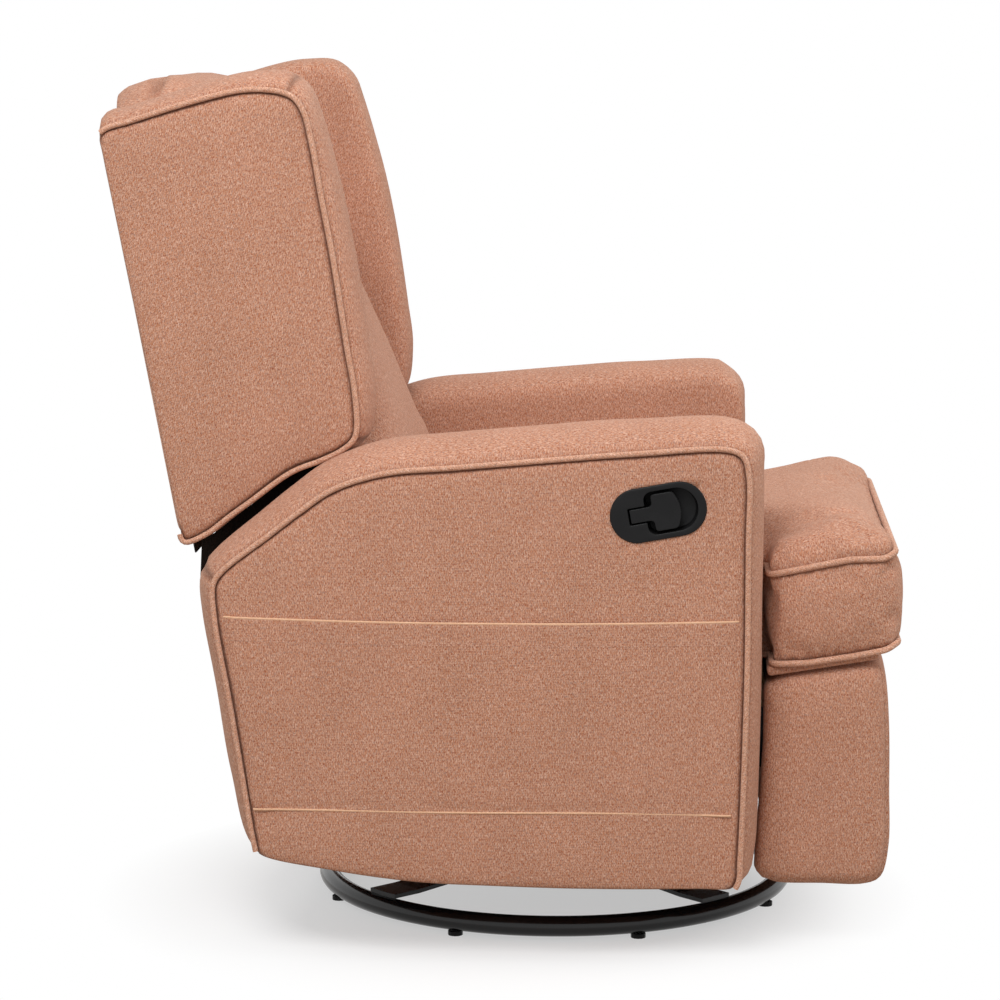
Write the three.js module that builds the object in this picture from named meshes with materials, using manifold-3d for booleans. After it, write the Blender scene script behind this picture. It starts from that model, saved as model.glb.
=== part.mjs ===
// Swivel glider recliner: padded wing back, T cushion, fold-out footrest, pull lever and round floor ring.
// Millimetres, +Z up, +X the way the sitter faces, +Y the sitter's left.
// The origin lies on the floor under the middle of the chair's length.
import * as THREE from "three";
import { mergeVertices } from "three/addons/utils/BufferGeometryUtils.js";
import Module from "manifold-3d";

const wasm = await Module();
wasm.setup();

// Clearances
const seatGap = 0.3; // between two pieces that rest on each other
const pinPlay = 0.5; // between a pivot's stud and its bore
const overrun = 4; // how far a cut runs past what it cuts

// Floor ring, glides and swivel bearing
const swivelAhead = 60; // swivel axis ahead of the middle of the chair's length
const ringRadius = 288.5;
const ringTube = 25;
const glideCount = 8;
const glideDiameter = 18;
const glideHeight = 5.2;
const crossBarWidth = 46;
const crossBarThickness = 5;
const crossBarRise = 9;
const crossBarFlatRadius = 110;
const crossBarFootLength = 40;
const hubRadius = 90;
const raceRadius = 82;
const raceHeight = 7.5;
const raceBore = 24;

// Glider: four hanging links between the swivel deck and the seat
const deckThickness = 16;
const deckBarWidth = 34;
const deckHalfWidth = 176;
const deckRailSetIn = 70;
const hangerThickness = 5;
const hangerOuter = 175; // outer face of a hanger, from the middle plane
const hangerWidth = 34;
const glideLink = 110;
const glideLinkThickness = 5;
const glideLinkWidth = 24;
const glideTopHeight = 212;
const glideFrontX = 50;
const glideRearX = -130;
const shoeThickness = 5;
const shoeBarWidth = 26;
const shoeEyeWall = 6;

// Arms
const armThickness = 130;
const armRear = -383;
const armLength = 619;
const armBase = 91;
const armHeight = 517;
const armCrown = 33;
const armPanelCrown = 3;
const armWall = 26;
const armFrameWidth = 50;
const armFront = armRear + armLength;

// Side plates, cross tubes and pivots of the footrest linkage
const armInner = 260; // inner face of an arm, from the middle plane
const plateThickness = 4;
const layerGap = 0.5;
const linkWidth = 18;
const studRadius = 5;
const tubeDiameter = 25;
const frontTube = { x: 60, z: 276 };
const rearTube = { x: -85, z: 240 };
const footrestPivotSetBack = 56; // behind the arm fronts
const footrestPivot = { x: armFront - footrestPivotSetBack, z: 312 };
const footrestLink = 245;
const footrestLinkAngle = -130; // degrees from +X at rest
const followerOffset = 45;
const carrierReach = { x: 199.5, z: 115.7 };
const steeringOffset = 45;
const torqueTube = 20;
const torqueShare = 0.3; // of the main link, from its pivot
const sidePlateDrop = 24; // middle of the plate below the seat plane
const sidePlateWidth = 42;
const latchPivot = { x: 10, z: 277 };
const pawlLength = 52;
const cableRadius = 2.5;
const cableHoleRadius = 9;
const cableHole = { x: -36, z: 266 };

// Seat
const seatPitch = 9.5; // degrees, front edge up
const seatHeight = 299.156; // underside of the cushion over the swivel axis
const seatBendAhead = 26; // from the arm fronts to the hinge line of the cushion band
const cushionThickness = 111;
const cushionCrown = 58;
const cushionCrownReach = 80;
const cushionBulge = 7;
const cushionFront = 152; // ahead of the arm fronts, along the seat
const cushionRearX = -130.5;
const cushionLean = 2.5; // degrees that its side band leans back
const earSetOff = 4; // between the arm fronts and the ears
const cushionHalfWidth = 254;
const cushionEarHalfWidth = 320;
const cushionCorner = 28;
const springWire = 4;
const springCount = 4;
const springSpacing = 105;
const springWave = 26;
const springPitch = 46;
const seatRailWidth = 24;
const seatRailHeight = 30;
const seatFrameHalfWidth = 235;
const seatRailAhead = 23; // of the arm fronts
const seatRailRear = -132;
const noseThickness = 10;
const noseHalfWidth = 300;
const noseAhead = 154; // of the arm fronts

// Side pocket on the sitter's right
const pocketDepth = 7;
const pocketCloth = 2.2;
const pocketHemHeight = 408;
const pocketSeamHeight = 182;

// Pull lever and its recessed plate
const bezelDrop = 69.5; // below the top seam of the arm
const bezelSetBack = 104; // behind the arm front
const bezel = {
  x: armFront - bezelSetBack, z: armBase + armHeight - bezelDrop,
  length: 112, height: 63, thickness: 3, tilt: 10.5, room: 2 * armWall,
};
const cup = { radius: 25, front: 46, rear: 14.5, corner: 10, depth: 19, wall: 2 };
const leverSlot = { rear: 34.5, height: 19.5 };
const lever = {
  thickness: 7, stem: 16, rear: 32.5, ahead: 26, paddle: 32, paddleHeight: 43, corner: 5, bow: 3,
};
const leverPivot = 2.5; // its pin, ahead of the rear end of the stem
const leverPinSize = 4;
const leverPinGap = 0.3; // at each side of the slot

// Back: measured along and square to the plane of its rear face
const backLean = 10.5; // degrees from upright
const backFoot = { x: -430, z: 489 }; // lower rear edge of the wings
const reclinePivot = { x: -250, z: 320 };
const reclinePin = 16;
const reclineCollar = 26;
const backBracketWidth = 40;
const bracketKnee = { x: -262, z: 400 };
const bracketBend = { x: -262, z: 568 };
const bracketEnd = { x: -425, z: 590 };
const wingOuter = 316;
const wingInner = 214.5;
const wingRear = -519;
const wingLength = 296;
const wingReachDown = 122; // from the top seam of the arm to the foot of the wing
const wingBase = armBase + armHeight - wingReachDown;
const wingTop = 1015;
const wingCrown = 21;
const wingPanelCrown = 4;
const backFrameThickness = 22;
const backFrameHalfWidth = 209.5;
const backFrameBottom = 40;
const backFrameTop = 520;
const backFrameMember = 44;
const backFrameCorner = { across: 60, down: 45 };
const backCoverHalfWidth = 312;
const backCoverCrown = 14;
const backCoverEdge = 9;
const backCoverBottom = 2;
const backCoverTop = 512;
const backCushionTop = 533;
const backCushionBottom = -150;
const backCushionWideTop = 50;
const backCushionHalfWidth = 248;
const backCushionCorner = 46;
const backCushionDepth = 281; // from the plane of the back's rear face to the lumbar crown
const backCushionCrown = 38;
const backCushionReach = 85;
const lumbarRearX = -236;

// Footrest
const footrestAhead = { rear: 25, front: 169 }; // of the arm fronts
const footrest = {
  rear: armFront + footrestAhead.rear, front: armFront + footrestAhead.front,
  base: 86, top: 347, halfWidth: 320,
};
const footrestPanelCrown = 4;
const footrestCrown = 9;
const boardThickness = 14;
const boardHalfWidth = 290;
const boardMargin = 22;
const flangeWidth = 32; // of a footrest bracket, across the board

// Lower rear panel between the arms
const rearPanel = { bottomX: -345, bottomZ: 140, topX: -393, topZ: 462, thickness: 14, crown: 6 };

// Colours and surface values from the photograph
const finishes = {
  fabric: { color: 0xc98f74, roughness: 0.95, metalness: 0 },
  lining: { color: 0x2a2624, roughness: 0.95, metalness: 0 },
  blackSteel: { color: 0x0c0c0e, roughness: 0.25, metalness: 0.6 },
  steel: { color: 0x3a3a3c, roughness: 0.45, metalness: 0.8 },
  zinc: { color: 0xa9abad, roughness: 0.4, metalness: 0.9 },
  blackPlastic: { color: 0x17181a, roughness: 0.4, metalness: 0 },
  timber: { color: 0xc9a877, roughness: 0.7, metalness: 0 },
};

// Helpers: closed solids, their joins and their places
const weld = 0.001;
const rad = THREE.MathUtils.degToRad;
const sides = [{ name: "left", sign: 1 }, { name: "right", sign: -1 }];

function solid(geometry) {
  const bare = geometry.clone();
  bare.deleteAttribute("normal");
  bare.deleteAttribute("uv");
  const merged = mergeVertices(bare, weld);
  return new wasm.Manifold(new wasm.Mesh({
    numProp: 3,
    vertProperties: merged.attributes.position.array,
    triVerts: new Uint32Array(merged.index.array),
  }));
}

function geometryOf(body) {
  const mesh = body.getMesh();
  const geometry = new THREE.BufferGeometry();
  geometry.setAttribute("position", new THREE.BufferAttribute(mesh.vertProperties, 3));
  geometry.setIndex(new THREE.BufferAttribute(mesh.triVerts, 1));
  return geometry;
}

const joined = (bodies) => bodies.reduce((whole, body) => whole.add(body));
const cutBy = (body, cuts) => cuts.reduce((rest, cut) => rest.subtract(cut), body);

// A box between two corners
function block(low, high) {
  const box = new THREE.BoxGeometry(high[0] - low[0], high[1] - low[1], high[2] - low[2]);
  box.translate((low[0] + high[0]) / 2, (low[1] + high[1]) / 2, (low[2] + high[2]) / 2);
  return box;
}

// An outline of [x, z] points given a thickness along Y, its inner face at a distance from the middle
function plate(outline, sign, inner, thickness, holes = []) {
  const shape = new THREE.Shape(outline.map(([x, z]) => new THREE.Vector2(x, z)));
  for (const hole of holes) shape.holes.push(new THREE.Path(hole.map(([x, z]) => new THREE.Vector2(x, z))));
  const geometry = new THREE.ExtrudeGeometry(shape, { depth: thickness, bevelEnabled: false });
  geometry.rotateX(Math.PI / 2);
  geometry.translate(0, sign > 0 ? inner + thickness : -inner, 0);
  return geometry;
}

// A round bar along Y between two distances from the middle plane
function crossPin(at, radius, from, to, segments = 12) {
  const bar = new THREE.CylinderGeometry(radius, radius, Math.abs(to - from), segments);
  bar.translate(at.x, (from + to) / 2, at.z);
  return bar;
}

function stud(at, sign, inner, outer, radius = studRadius) {
  return solid(crossPin(at, radius, sign * inner, sign * outer));
}

function bore(at, sign, inner, outer, radius = studRadius + pinPlay) {
  return solid(crossPin(at, radius, sign * (inner - overrun), sign * (outer + overrun)));
}

// The outline of a bar with round ends between two pivots
function barOutline(a, b, width, steps = 5) {
  const along = Math.atan2(b.z - a.z, b.x - a.x);
  const arc = (centre, start) =>
    Array.from({ length: steps + 1 }, (_, i) => {
      const angle = start + (Math.PI * i) / steps;
      return [centre.x + (width / 2) * Math.cos(angle), centre.z + (width / 2) * Math.sin(angle)];
    });
  return [...arc(b, along - Math.PI / 2), ...arc(a, along + Math.PI / 2)];
}

// A flat strap that runs through the given pivots
function strap(pivots, width, sign, inner, thickness) {
  const legs = pivots.slice(1).map((pivot, i) =>
    solid(plate(barOutline(pivots[i], pivot, width), sign, inner, thickness)));
  return joined(legs);
}

// Corners given as [u, v, radius], each rounded by a short curve
function rounded(corners, steps = 3) {
  return corners.flatMap(([u, v, radius], i) => {
    if (radius === 0) return [[u, v]];
    const toward = (other) => {
      const length = Math.hypot(other[0] - u, other[1] - v);
      return [u + ((other[0] - u) * radius) / length, v + ((other[1] - v) * radius) / length];
    };
    const before = toward(corners[(i + corners.length - 1) % corners.length]);
    const after = toward(corners[(i + 1) % corners.length]);
    return Array.from({ length: steps + 1 }, (_, k) => {
      const s = k / steps;
      const mix = (axis, corner) =>
        (1 - s) ** 2 * before[axis] + 2 * s * (1 - s) * corner + s ** 2 * after[axis];
      return [mix(0, u), mix(1, v)];
    });
  });
}

// Shares of a box [u, v, fullness] turned into sizes
const fromShares = (shares, low, size) =>
  shares.map(([u, v, full = 1]) => [low[0] + u * size[0], low[1] + v * size[1], full]);

// Moves each point of an outline outwards by a distance times its own fullness
function spread(outline, distance) {
  const count = outline.length;
  const normal = (a, b) => {
    const length = Math.hypot(b[0] - a[0], b[1] - a[1]);
    return [(b[1] - a[1]) / length, (a[0] - b[0]) / length];
  };
  return outline.map((point, i) => {
    const n1 = normal(outline[(i + count - 1) % count], point);
    const n2 = normal(point, outline[(i + 1) % count]);
    const sum = [n1[0] + n2[0], n1[1] + n2[1]];
    const stretch = (2 / (sum[0] ** 2 + sum[1] ** 2)) * distance * (point[2] ?? 1);
    return [point[0] + sum[0] * stretch, point[1] + sum[1] * stretch, point[2] ?? 1];
  });
}

// The least distance from a point to an outline
function edgeDistance(outline, u, v) {
  return Math.min(...outline.map((a, i) => {
    const b = outline[(i + 1) % outline.length];
    const run = [b[0] - a[0], b[1] - a[1]];
    const share = ((u - a[0]) * run[0] + (v - a[1]) * run[1]) / (run[0] ** 2 + run[1] ** 2);
    const t = Math.min(1, Math.max(0, share));
    return Math.hypot(u - a[0] - t * run[0], v - a[1] - t * run[1]);
  }));
}

// An outline drawn in by a wall, without the points that a tight corner folds over
const foldShare = 0.98;
const spacingShare = 0.2;
function drawnIn(outline, wall) {
  const moved = spread(outline.map(([u, v]) => [u, v]), -wall);
  const kept = moved.filter(([u, v]) => edgeDistance(outline, u, v) > wall * foldShare);
  const apart = (a, b) => Math.hypot(a[0] - b[0], a[1] - b[1]) > wall * spacingShare;
  return kept.filter((point, i) => apart(point, kept.at(i - 1))).map(([u, v]) => [u, v]);
}

// How far a filled face has risen at a distance from its seam
const crownAt = (height, reach, distance) =>
  height * Math.sqrt(1 - (1 - Math.min(1, distance / reach)) ** 2);

// A stuffed form over an outline: its band swells between two seams, and its faces crown inside them.
// top and bottom give the height of each face from the place and its distance to the seam.
const bandShares = [[0, 0], [0.12, 0.6], [0.3, 0.92], [0.5, 1], [0.7, 0.92], [0.88, 0.6], [1, 0]];
const faceShares = [0.94, 0.82, 0.6, 0.3];
function pad({ outline, centre, bulge, top, bottom, band = bandShares, rings = faceShares }) {
  const loops = [];
  const inward = (share) => outline.map(([u, v]) => [
    centre[0] + (u - centre[0]) * share,
    centre[1] + (v - centre[1]) * share,
  ]);
  const face = (share, height) =>
    inward(share).map(([u, v]) => [u, v, height(u, v, edgeDistance(outline, u, v))]);
  for (const share of [...rings].reverse()) loops.push(face(share, bottom));
  for (const [rise, out] of band) {
    const moved = spread(outline, bulge * out);
    loops.push(outline.map(([u, v], i) => {
      const low = bottom(u, v, 0);
      return [moved[i][0], moved[i][1], low + (top(u, v, 0) - low) * rise];
    }));
  }
  for (const share of rings) loops.push(face(share, top));
  const count = outline.length;
  const points = [
    [...centre, bottom(...centre, edgeDistance(outline, ...centre))],
    ...loops.flat(),
    [...centre, top(...centre, edgeDistance(outline, ...centre))],
  ];
  const faces = [];
  for (let i = 0; i < count; i++) {
    const next = (i + 1) % count;
    faces.push(0, 1 + next, 1 + i);
    for (let loop = 0; loop < loops.length - 1; loop++) {
      const low = 1 + loop * count;
      const high = low + count;
      faces.push(low + i, low + next, high + next, low + i, high + next, high + i);
    }
    const last = 1 + (loops.length - 1) * count;
    faces.push(last + i, last + next, points.length - 1);
  }
  const geometry = new THREE.BufferGeometry();
  geometry.setAttribute("position", new THREE.BufferAttribute(new Float32Array(points.flat()), 3));
  geometry.setIndex(faces);
  return geometry;
}

// Frames that the pads and panels are drawn in: u and v across the form, w through it
const frameOf = (origin, u, v, w) =>
  new THREE.Matrix4().makeBasis(new THREE.Vector3(...u), new THREE.Vector3(...v), new THREE.Vector3(...w))
    .setPosition(...origin);
const sideFrame = frameOf([0, 0, 0], [1, 0, 0], [0, 0, 1], [0, -1, 0]);
const pitch = rad(seatPitch);
const seatBendX = armFront + seatBendAhead;
const seatBend = { x: seatBendX, z: seatHeight + seatBendX * Math.tan(pitch) };
const seatFrame = frameOf([seatBend.x, 0, seatBend.z],
  [Math.cos(pitch), 0, Math.sin(pitch)], [0, 1, 0], [-Math.sin(pitch), 0, Math.cos(pitch)]);
const cushionFrame = frameOf([seatBend.x, 0, seatBend.z], [Math.cos(pitch), 0, Math.sin(pitch)], [0, 1, 0],
  [-Math.sin(rad(cushionLean)), 0, Math.cos(rad(cushionLean))]);
const lean = rad(backLean);
const backFrame = frameOf([backFoot.x, 0, backFoot.z],
  [0, 1, 0], [-Math.sin(lean), 0, Math.cos(lean)], [Math.cos(lean), 0, Math.sin(lean)]);

// The underside of the seat cushion above a place along X
const seatPlane = (x) => seatBend.z + (x - seatBend.x) * Math.tan(pitch);

// The group of the whole chair, drawn from the swivel axis
const chair = new THREE.Group();
chair.position.x = swivelAhead;

function addPart(name, finish, body) {
  const geometry = body.isBufferGeometry ? body : geometryOf(body);
  geometry.computeVertexNormals();
  const mesh = new THREE.Mesh(geometry, new THREE.MeshStandardMaterial(finishes[finish]));
  mesh.name = name;
  chair.add(mesh);
}

// Floor ring with its glides
const ringHeight = glideHeight + seatGap + ringTube / 2;
function floorRing() {
  const ring = new THREE.TorusGeometry(ringRadius, ringTube / 2, 8, 40);
  ring.translate(0, 0, ringHeight);
  addPart("base_ring", "blackSteel", solid(ring));
  for (let i = 0; i < glideCount; i++) {
    const angle = (2 * Math.PI * (i + 0.5)) / glideCount;
    const glide = new THREE.CylinderGeometry(glideDiameter / 2, glideDiameter / 2, glideHeight, 12);
    glide.rotateX(Math.PI / 2);
    glide.translate(ringRadius * Math.cos(angle), ringRadius * Math.sin(angle), glideHeight / 2);
    addPart(`floor_glide_${i + 1}`, "blackPlastic", solid(glide));
  }
}

// A round disc about the swivel axis between two heights, with a bore through it
function disc(radius, low, high, hole = raceBore) {
  const section = [[hole, low], [radius, low], [radius, high], [hole, high], [hole, low]];
  const turned = new THREE.LatheGeometry(section.map(([r, z]) => new THREE.Vector2(r, z)), 32);
  turned.rotateX(Math.PI / 2);
  return solid(turned);
}

// Crossed flat bars that rise from the ring to the hub
const barFootHeight = ringHeight + ringTube / 2 + seatGap;
const hubHeight = barFootHeight + crossBarRise + crossBarThickness;
function crossBars() {
  const foot = ringRadius - crossBarFootLength;
  const low = barFootHeight;
  const high = low + crossBarRise;
  const half = [
    [crossBarFlatRadius, high], [foot, low], [ringRadius, low],
    [ringRadius, low + crossBarThickness], [foot, low + crossBarThickness],
    [crossBarFlatRadius, high + crossBarThickness],
  ];
  const mirrored = half.map(([x, z]) => [-x, z]).reverse();
  const outline = [...half, ...mirrored];
  const bars = [45, -45].map((angle) => {
    const bar = plate(outline, 1, -crossBarWidth / 2, crossBarWidth);
    bar.rotateZ(rad(angle));
    return solid(bar);
  });
  const hub = disc(hubRadius, high, hubHeight);
  addPart("base_cross", "blackSteel", joined([...bars, hub]));
}

// Swivel bearing: a lower race on the hub and an upper race under the deck
const upperRaceBase = hubHeight + seatGap + raceHeight + seatGap;
const deckBase = upperRaceBase + raceHeight + seatGap;
function swivelRaces() {
  const lowerBase = hubHeight + seatGap;
  addPart("lower_race", "zinc", disc(raceRadius, lowerBase, lowerBase + raceHeight));
  addPart("upper_race", "zinc", disc(raceRadius, upperRaceBase, upperRaceBase + raceHeight));
}

// Layers of the glider, from the middle plane outwards
const glideLinkInner = hangerOuter - hangerThickness - layerGap - glideLinkThickness;
const shoeInner = glideLinkInner - layerGap - shoeThickness;
const glideLowHeight = glideTopHeight - glideLink;
const glideTops = [{ x: glideFrontX, z: glideTopHeight }, { x: glideRearX, z: glideTopHeight }];
const glideLows = glideTops.map(({ x }) => ({ x, z: glideLowHeight }));

// Swivel deck: two cross bars on two rails, with a hanger at each end
function swivelDeck() {
  const top = deckBase + deckThickness;
  const bars = glideTops.map(({ x }) => solid(block(
    [x - deckBarWidth / 2, -deckHalfWidth, deckBase], [x + deckBarWidth / 2, deckHalfWidth, top])));
  const rails = sides.map(({ sign }) => solid(block(
    [glideRearX, sign * deckRailSetIn - deckBarWidth / 2, deckBase],
    [glideFrontX, sign * deckRailSetIn + deckBarWidth / 2, top])));
  const ledge = solid(block([-raceRadius, -deckRailSetIn, deckBase], [glideFrontX, deckRailSetIn, top]));
  const hangers = sides.flatMap(({ sign }) => glideTops.flatMap((pivot) => {
    const foot = { x: pivot.x, z: top - hangerWidth / 2 };
    return [
      solid(plate(barOutline(foot, pivot, hangerWidth), sign, hangerOuter - hangerThickness, hangerThickness)),
      stud(pivot, sign, glideLinkInner - layerGap, hangerOuter),
    ];
  }));
  const under = solid(block(
    [glideRearX - hangerWidth, -hangerOuter, deckBase - hangerWidth],
    [glideFrontX + hangerWidth, hangerOuter, deckBase]));
  const deck = joined([...bars, ...rails, ledge, ...hangers]);
  addPart("swivel_deck_frame", "blackSteel", cutBy(deck, [under]));
}

function glideLinks() {
  for (const { name, sign } of sides) {
    ["front", "rear"].forEach((place, i) => {
      const bar = solid(plate(
        barOutline(glideTops[i], glideLows[i], glideLinkWidth), sign, glideLinkInner, glideLinkThickness));
      const holes = [glideTops[i], glideLows[i]].map((pivot) =>
        bore(pivot, sign, glideLinkInner, glideLinkInner + glideLinkThickness));
      addPart(`glide_link_${place}_${name}`, "zinc", cutBy(bar, holes));
    });
  }
}

// Glide shoes hang from the two cross tubes and carry the lower pivots
function glideShoes() {
  for (const { name, sign } of sides) {
    const [front, rear] = glideLows;
    const shoe = strap([frontTube, front, rear, rearTube], shoeBarWidth, sign, shoeInner, shoeThickness);
    const studs = glideLows.map((pivot) =>
      stud(pivot, sign, shoeInner, glideLinkInner + glideLinkThickness));
    const holes = [frontTube, rearTube].map((tube) =>
      bore(tube, sign, shoeInner, shoeInner + shoeThickness, tubeDiameter / 2 + seatGap));
    const ends = [frontTube, rearTube].map((tube) =>
      stud(tube, sign, shoeInner, shoeInner + shoeThickness, tubeDiameter / 2 + shoeEyeWall));
    addPart(`glide_shoe_${name}`, "steel", cutBy(joined([shoe, ...studs, ...ends]), holes));
  }
}

// Layers of the footrest linkage, from the arm inwards
const sidePlateOuter = armInner - layerGap;
const sidePlateInner = sidePlateOuter - plateThickness;
const steeringInner = sidePlateInner - layerGap - plateThickness;
const linkInner = steeringInner - layerGap - plateThickness;
const carrierInner = linkInner - layerGap - plateThickness;

const along = (from, length, degrees) => ({
  x: from.x + length * Math.cos(rad(degrees)),
  z: from.z + length * Math.sin(rad(degrees)),
});
const mainEnd = along(footrestPivot, footrestLink, footrestLinkAngle);
const followerPivot = { x: footrestPivot.x - followerOffset, z: footrestPivot.z };
const followerEnd = { x: mainEnd.x - followerOffset, z: mainEnd.z };
const padPivot = { x: mainEnd.x + carrierReach.x, z: mainEnd.z + carrierReach.z };
const steeringStart = along(mainEnd, steeringOffset, footrestLinkAngle + 180);
const steeringEnd = along(padPivot, steeringOffset, footrestLinkAngle + 180);
const torqueAt = along(footrestPivot, footrestLink * torqueShare, footrestLinkAngle);

// Side plates follow the pitch of the seat and rise behind it to the recline pivot
function sidePlates() {
  for (const { name, sign } of sides) {
    const under = (x) => ({ x, z: seatPlane(x) - sidePlateDrop });
    const path = [under(footrestPivot.x), under(rearTube.x), { x: reclinePivot.x, z: reclinePivot.z }];
    const main = strap(path, sidePlateWidth, sign, sidePlateInner, plateThickness);
    const knee = strap([rearTube, under(rearTube.x)], sidePlateWidth, sign, sidePlateInner, plateThickness);
    const front = strap([frontTube, under(frontTube.x)], sidePlateWidth, sign, sidePlateInner, plateThickness);
    const pivots = [footrestPivot, followerPivot].map((pivot) =>
      stud(pivot, sign, carrierInner + plateThickness, sidePlateOuter));
    const recline = stud(reclinePivot, sign, backBracketInner - layerGap, sidePlateOuter, reclinePin / 2);
    const collar = stud(reclinePivot, sign, backBracketOuter + layerGap, sidePlateInner, reclineCollar / 2);
    const holes = [frontTube, rearTube].map((tube) =>
      bore(tube, sign, sidePlateInner, sidePlateOuter, tubeDiameter / 2 + seatGap));
    const bodies = [main, knee, front, ...pivots, recline, collar];
    if (sign < 0) {
      bodies.push(stud(latchPivot, sign, steeringInner, sidePlateInner));
      holes.push(bore(cableHole, sign, sidePlateInner, sidePlateOuter, cableHoleRadius));
    }
    addPart(`side_plate_${name}`, "steel", cutBy(joined(bodies), holes));
  }
}

function crossTubes() {
  for (const [name, at] of [["front", frontTube], ["rear", rearTube]]) {
    const tube = solid(crossPin(at, tubeDiameter / 2, -sidePlateOuter, sidePlateOuter));
    addPart(`cross_tube_${name}`, "blackSteel", tube);
  }
}

// Footrest linkage: main links, followers, carriers and steering links
function footrestLinks() {
  for (const { name, sign } of sides) {
    const flat = (pivots, inner) => strap(pivots, linkWidth, sign, inner, plateThickness);
    const hole = (pivot, inner) => bore(pivot, sign, inner, inner + plateThickness);
    const mainHoles = [footrestPivot, mainEnd].map((pivot) => hole(pivot, linkInner));
    const seat = bore(torqueAt, sign, linkInner, linkInner + plateThickness, torqueTube / 2 + seatGap);
    const boss = stud(torqueAt, sign, linkInner, linkInner + plateThickness, torqueTube / 2 + plateThickness);
    const mainBodies = [flat([footrestPivot, mainEnd], linkInner), boss,
      stud(steeringStart, sign, linkInner, steeringInner + plateThickness)];
    addPart(`footrest_main_link_${name}`, "steel", cutBy(joined(mainBodies), [...mainHoles, seat]));
    const followerHoles = [followerPivot, followerEnd].map((pivot) => hole(pivot, linkInner));
    addPart(`footrest_follower_link_${name}`, "steel",
      cutBy(flat([followerPivot, followerEnd], linkInner), followerHoles));
    const carrier = flat([followerEnd, mainEnd, padPivot], carrierInner);
    const carrierStuds = [followerEnd, mainEnd, padPivot].map((pivot) =>
      stud(pivot, sign, carrierInner, linkInner + plateThickness));
    addPart(`footrest_carrier_${name}`, "steel", joined([carrier, ...carrierStuds]));
    const steeringHoles = [steeringStart, steeringEnd].map((pivot) => hole(pivot, steeringInner));
    addPart(`footrest_steering_link_${name}`, "steel",
      cutBy(flat([steeringStart, steeringEnd], steeringInner), steeringHoles));
  }
  const ends = linkInner + plateThickness;
  addPart("torque_tube", "blackSteel", solid(crossPin(torqueAt, torqueTube / 2, -ends, ends)));
}

// Seat frame under the cushion, drawn in the plane of the seat
const toSeat = (geometry) => geometry.applyMatrix4(seatFrame);
const alongSeat = (x) => (x - seatBend.x) / Math.cos(pitch);
const railTop = -springWire - 2 * seatGap;
const railFrontEnd = alongSeat(armFront + seatRailAhead) - seatRailHeight * Math.tan(pitch);
const railRearEnd = alongSeat(seatRailRear);
function seatFrameRails() {
  const low = railTop - seatRailHeight;
  const cross = [[railFrontEnd - seatRailWidth, railFrontEnd], [railRearEnd, railRearEnd + seatRailWidth]]
    .map(([from, to]) => solid(toSeat(block(
      [from, -seatFrameHalfWidth, low], [to, seatFrameHalfWidth, railTop]))));
  const rails = sides.map(({ sign }) => {
    const middle = sign * (seatFrameHalfWidth - seatRailWidth / 2);
    return solid(toSeat(block(
      [railRearEnd, middle - seatRailWidth / 2, low], [railFrontEnd, middle + seatRailWidth / 2, railTop])));
  });
  const grooves = [frontTube, rearTube].map((tube) =>
    solid(crossPin(tube, tubeDiameter / 2 + seatGap, -armInner, armInner)));
  addPart("seat_frame", "timber", cutBy(joined([...cross, ...rails]), grooves));
}

// Waved wire springs between the front and rear rails
function seatSprings() {
  const start = railRearEnd + springWire;
  const length = railFrontEnd - springWire - start;
  const waves = 2 * Math.round(length / springPitch);
  for (let i = 0; i < springCount; i++) {
    const middle = (i - (springCount - 1) / 2) * springSpacing;
    const points = Array.from({ length: waves + 1 }, (_, k) => {
      const side = k === 0 || k === waves ? 0 : (springWave / 2) * (k % 2 ? 1 : -1);
      return new THREE.Vector3(start + (length * k) / waves, middle + side, -springWire / 2 - seatGap);
    });
    const section = new THREE.Shape(Array.from({ length: 5 }, (_, k) => new THREE.Vector2(
      (springWire / 2) * Math.cos((2 * Math.PI * k) / 5), (springWire / 2) * Math.sin((2 * Math.PI * k) / 5))));
    const wire = new THREE.ExtrudeGeometry(section, {
      steps: waves * 2, bevelEnabled: false, extrudePath: new THREE.CatmullRomCurve3(points),
    });
    addPart(`seat_spring_${i + 1}`, "zinc", solid(toSeat(wire)));
  }
}

// T cushion: its ears reach out in front of the arms
function seatCushion() {
  const front = cushionFront;
  const ear = earSetOff;
  const outline = rounded([
    [alongSeat(cushionRearX), -cushionHalfWidth, cushionCorner], [ear, -cushionHalfWidth, cushionCorner / 4],
    [ear, -cushionEarHalfWidth, cushionCorner / 2], [front, -cushionEarHalfWidth, cushionCorner],
    [front, cushionEarHalfWidth, cushionCorner], [ear, cushionEarHalfWidth, cushionCorner / 2],
    [ear, cushionHalfWidth, cushionCorner / 4], [alongSeat(cushionRearX), cushionHalfWidth, cushionCorner],
  ]);
  const form = pad({
    outline: outline.map(([u, v]) => [u, v, u > cushionCorner / 2 ? 1 : 0]),
    centre: [cushionCorner, 0],
    bulge: cushionBulge,
    bottom: () => 0,
    top: (u, v, edge) => cushionThickness + crownAt(cushionCrown, cushionCrownReach, edge),
  });
  addPart("seat_cushion", "fabric", solid(form.applyMatrix4(cushionFrame)));
}

function seatNose() {
  const from = alongSeat(armFront + seatRailAhead) + seatGap;
  const to = alongSeat(armFront + noseAhead);
  const nose = block([from, -noseHalfWidth, -seatGap - noseThickness], [to, noseHalfWidth, -seatGap]);
  addPart("seat_nose", "fabric", solid(toSeat(nose)));
}

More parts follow.
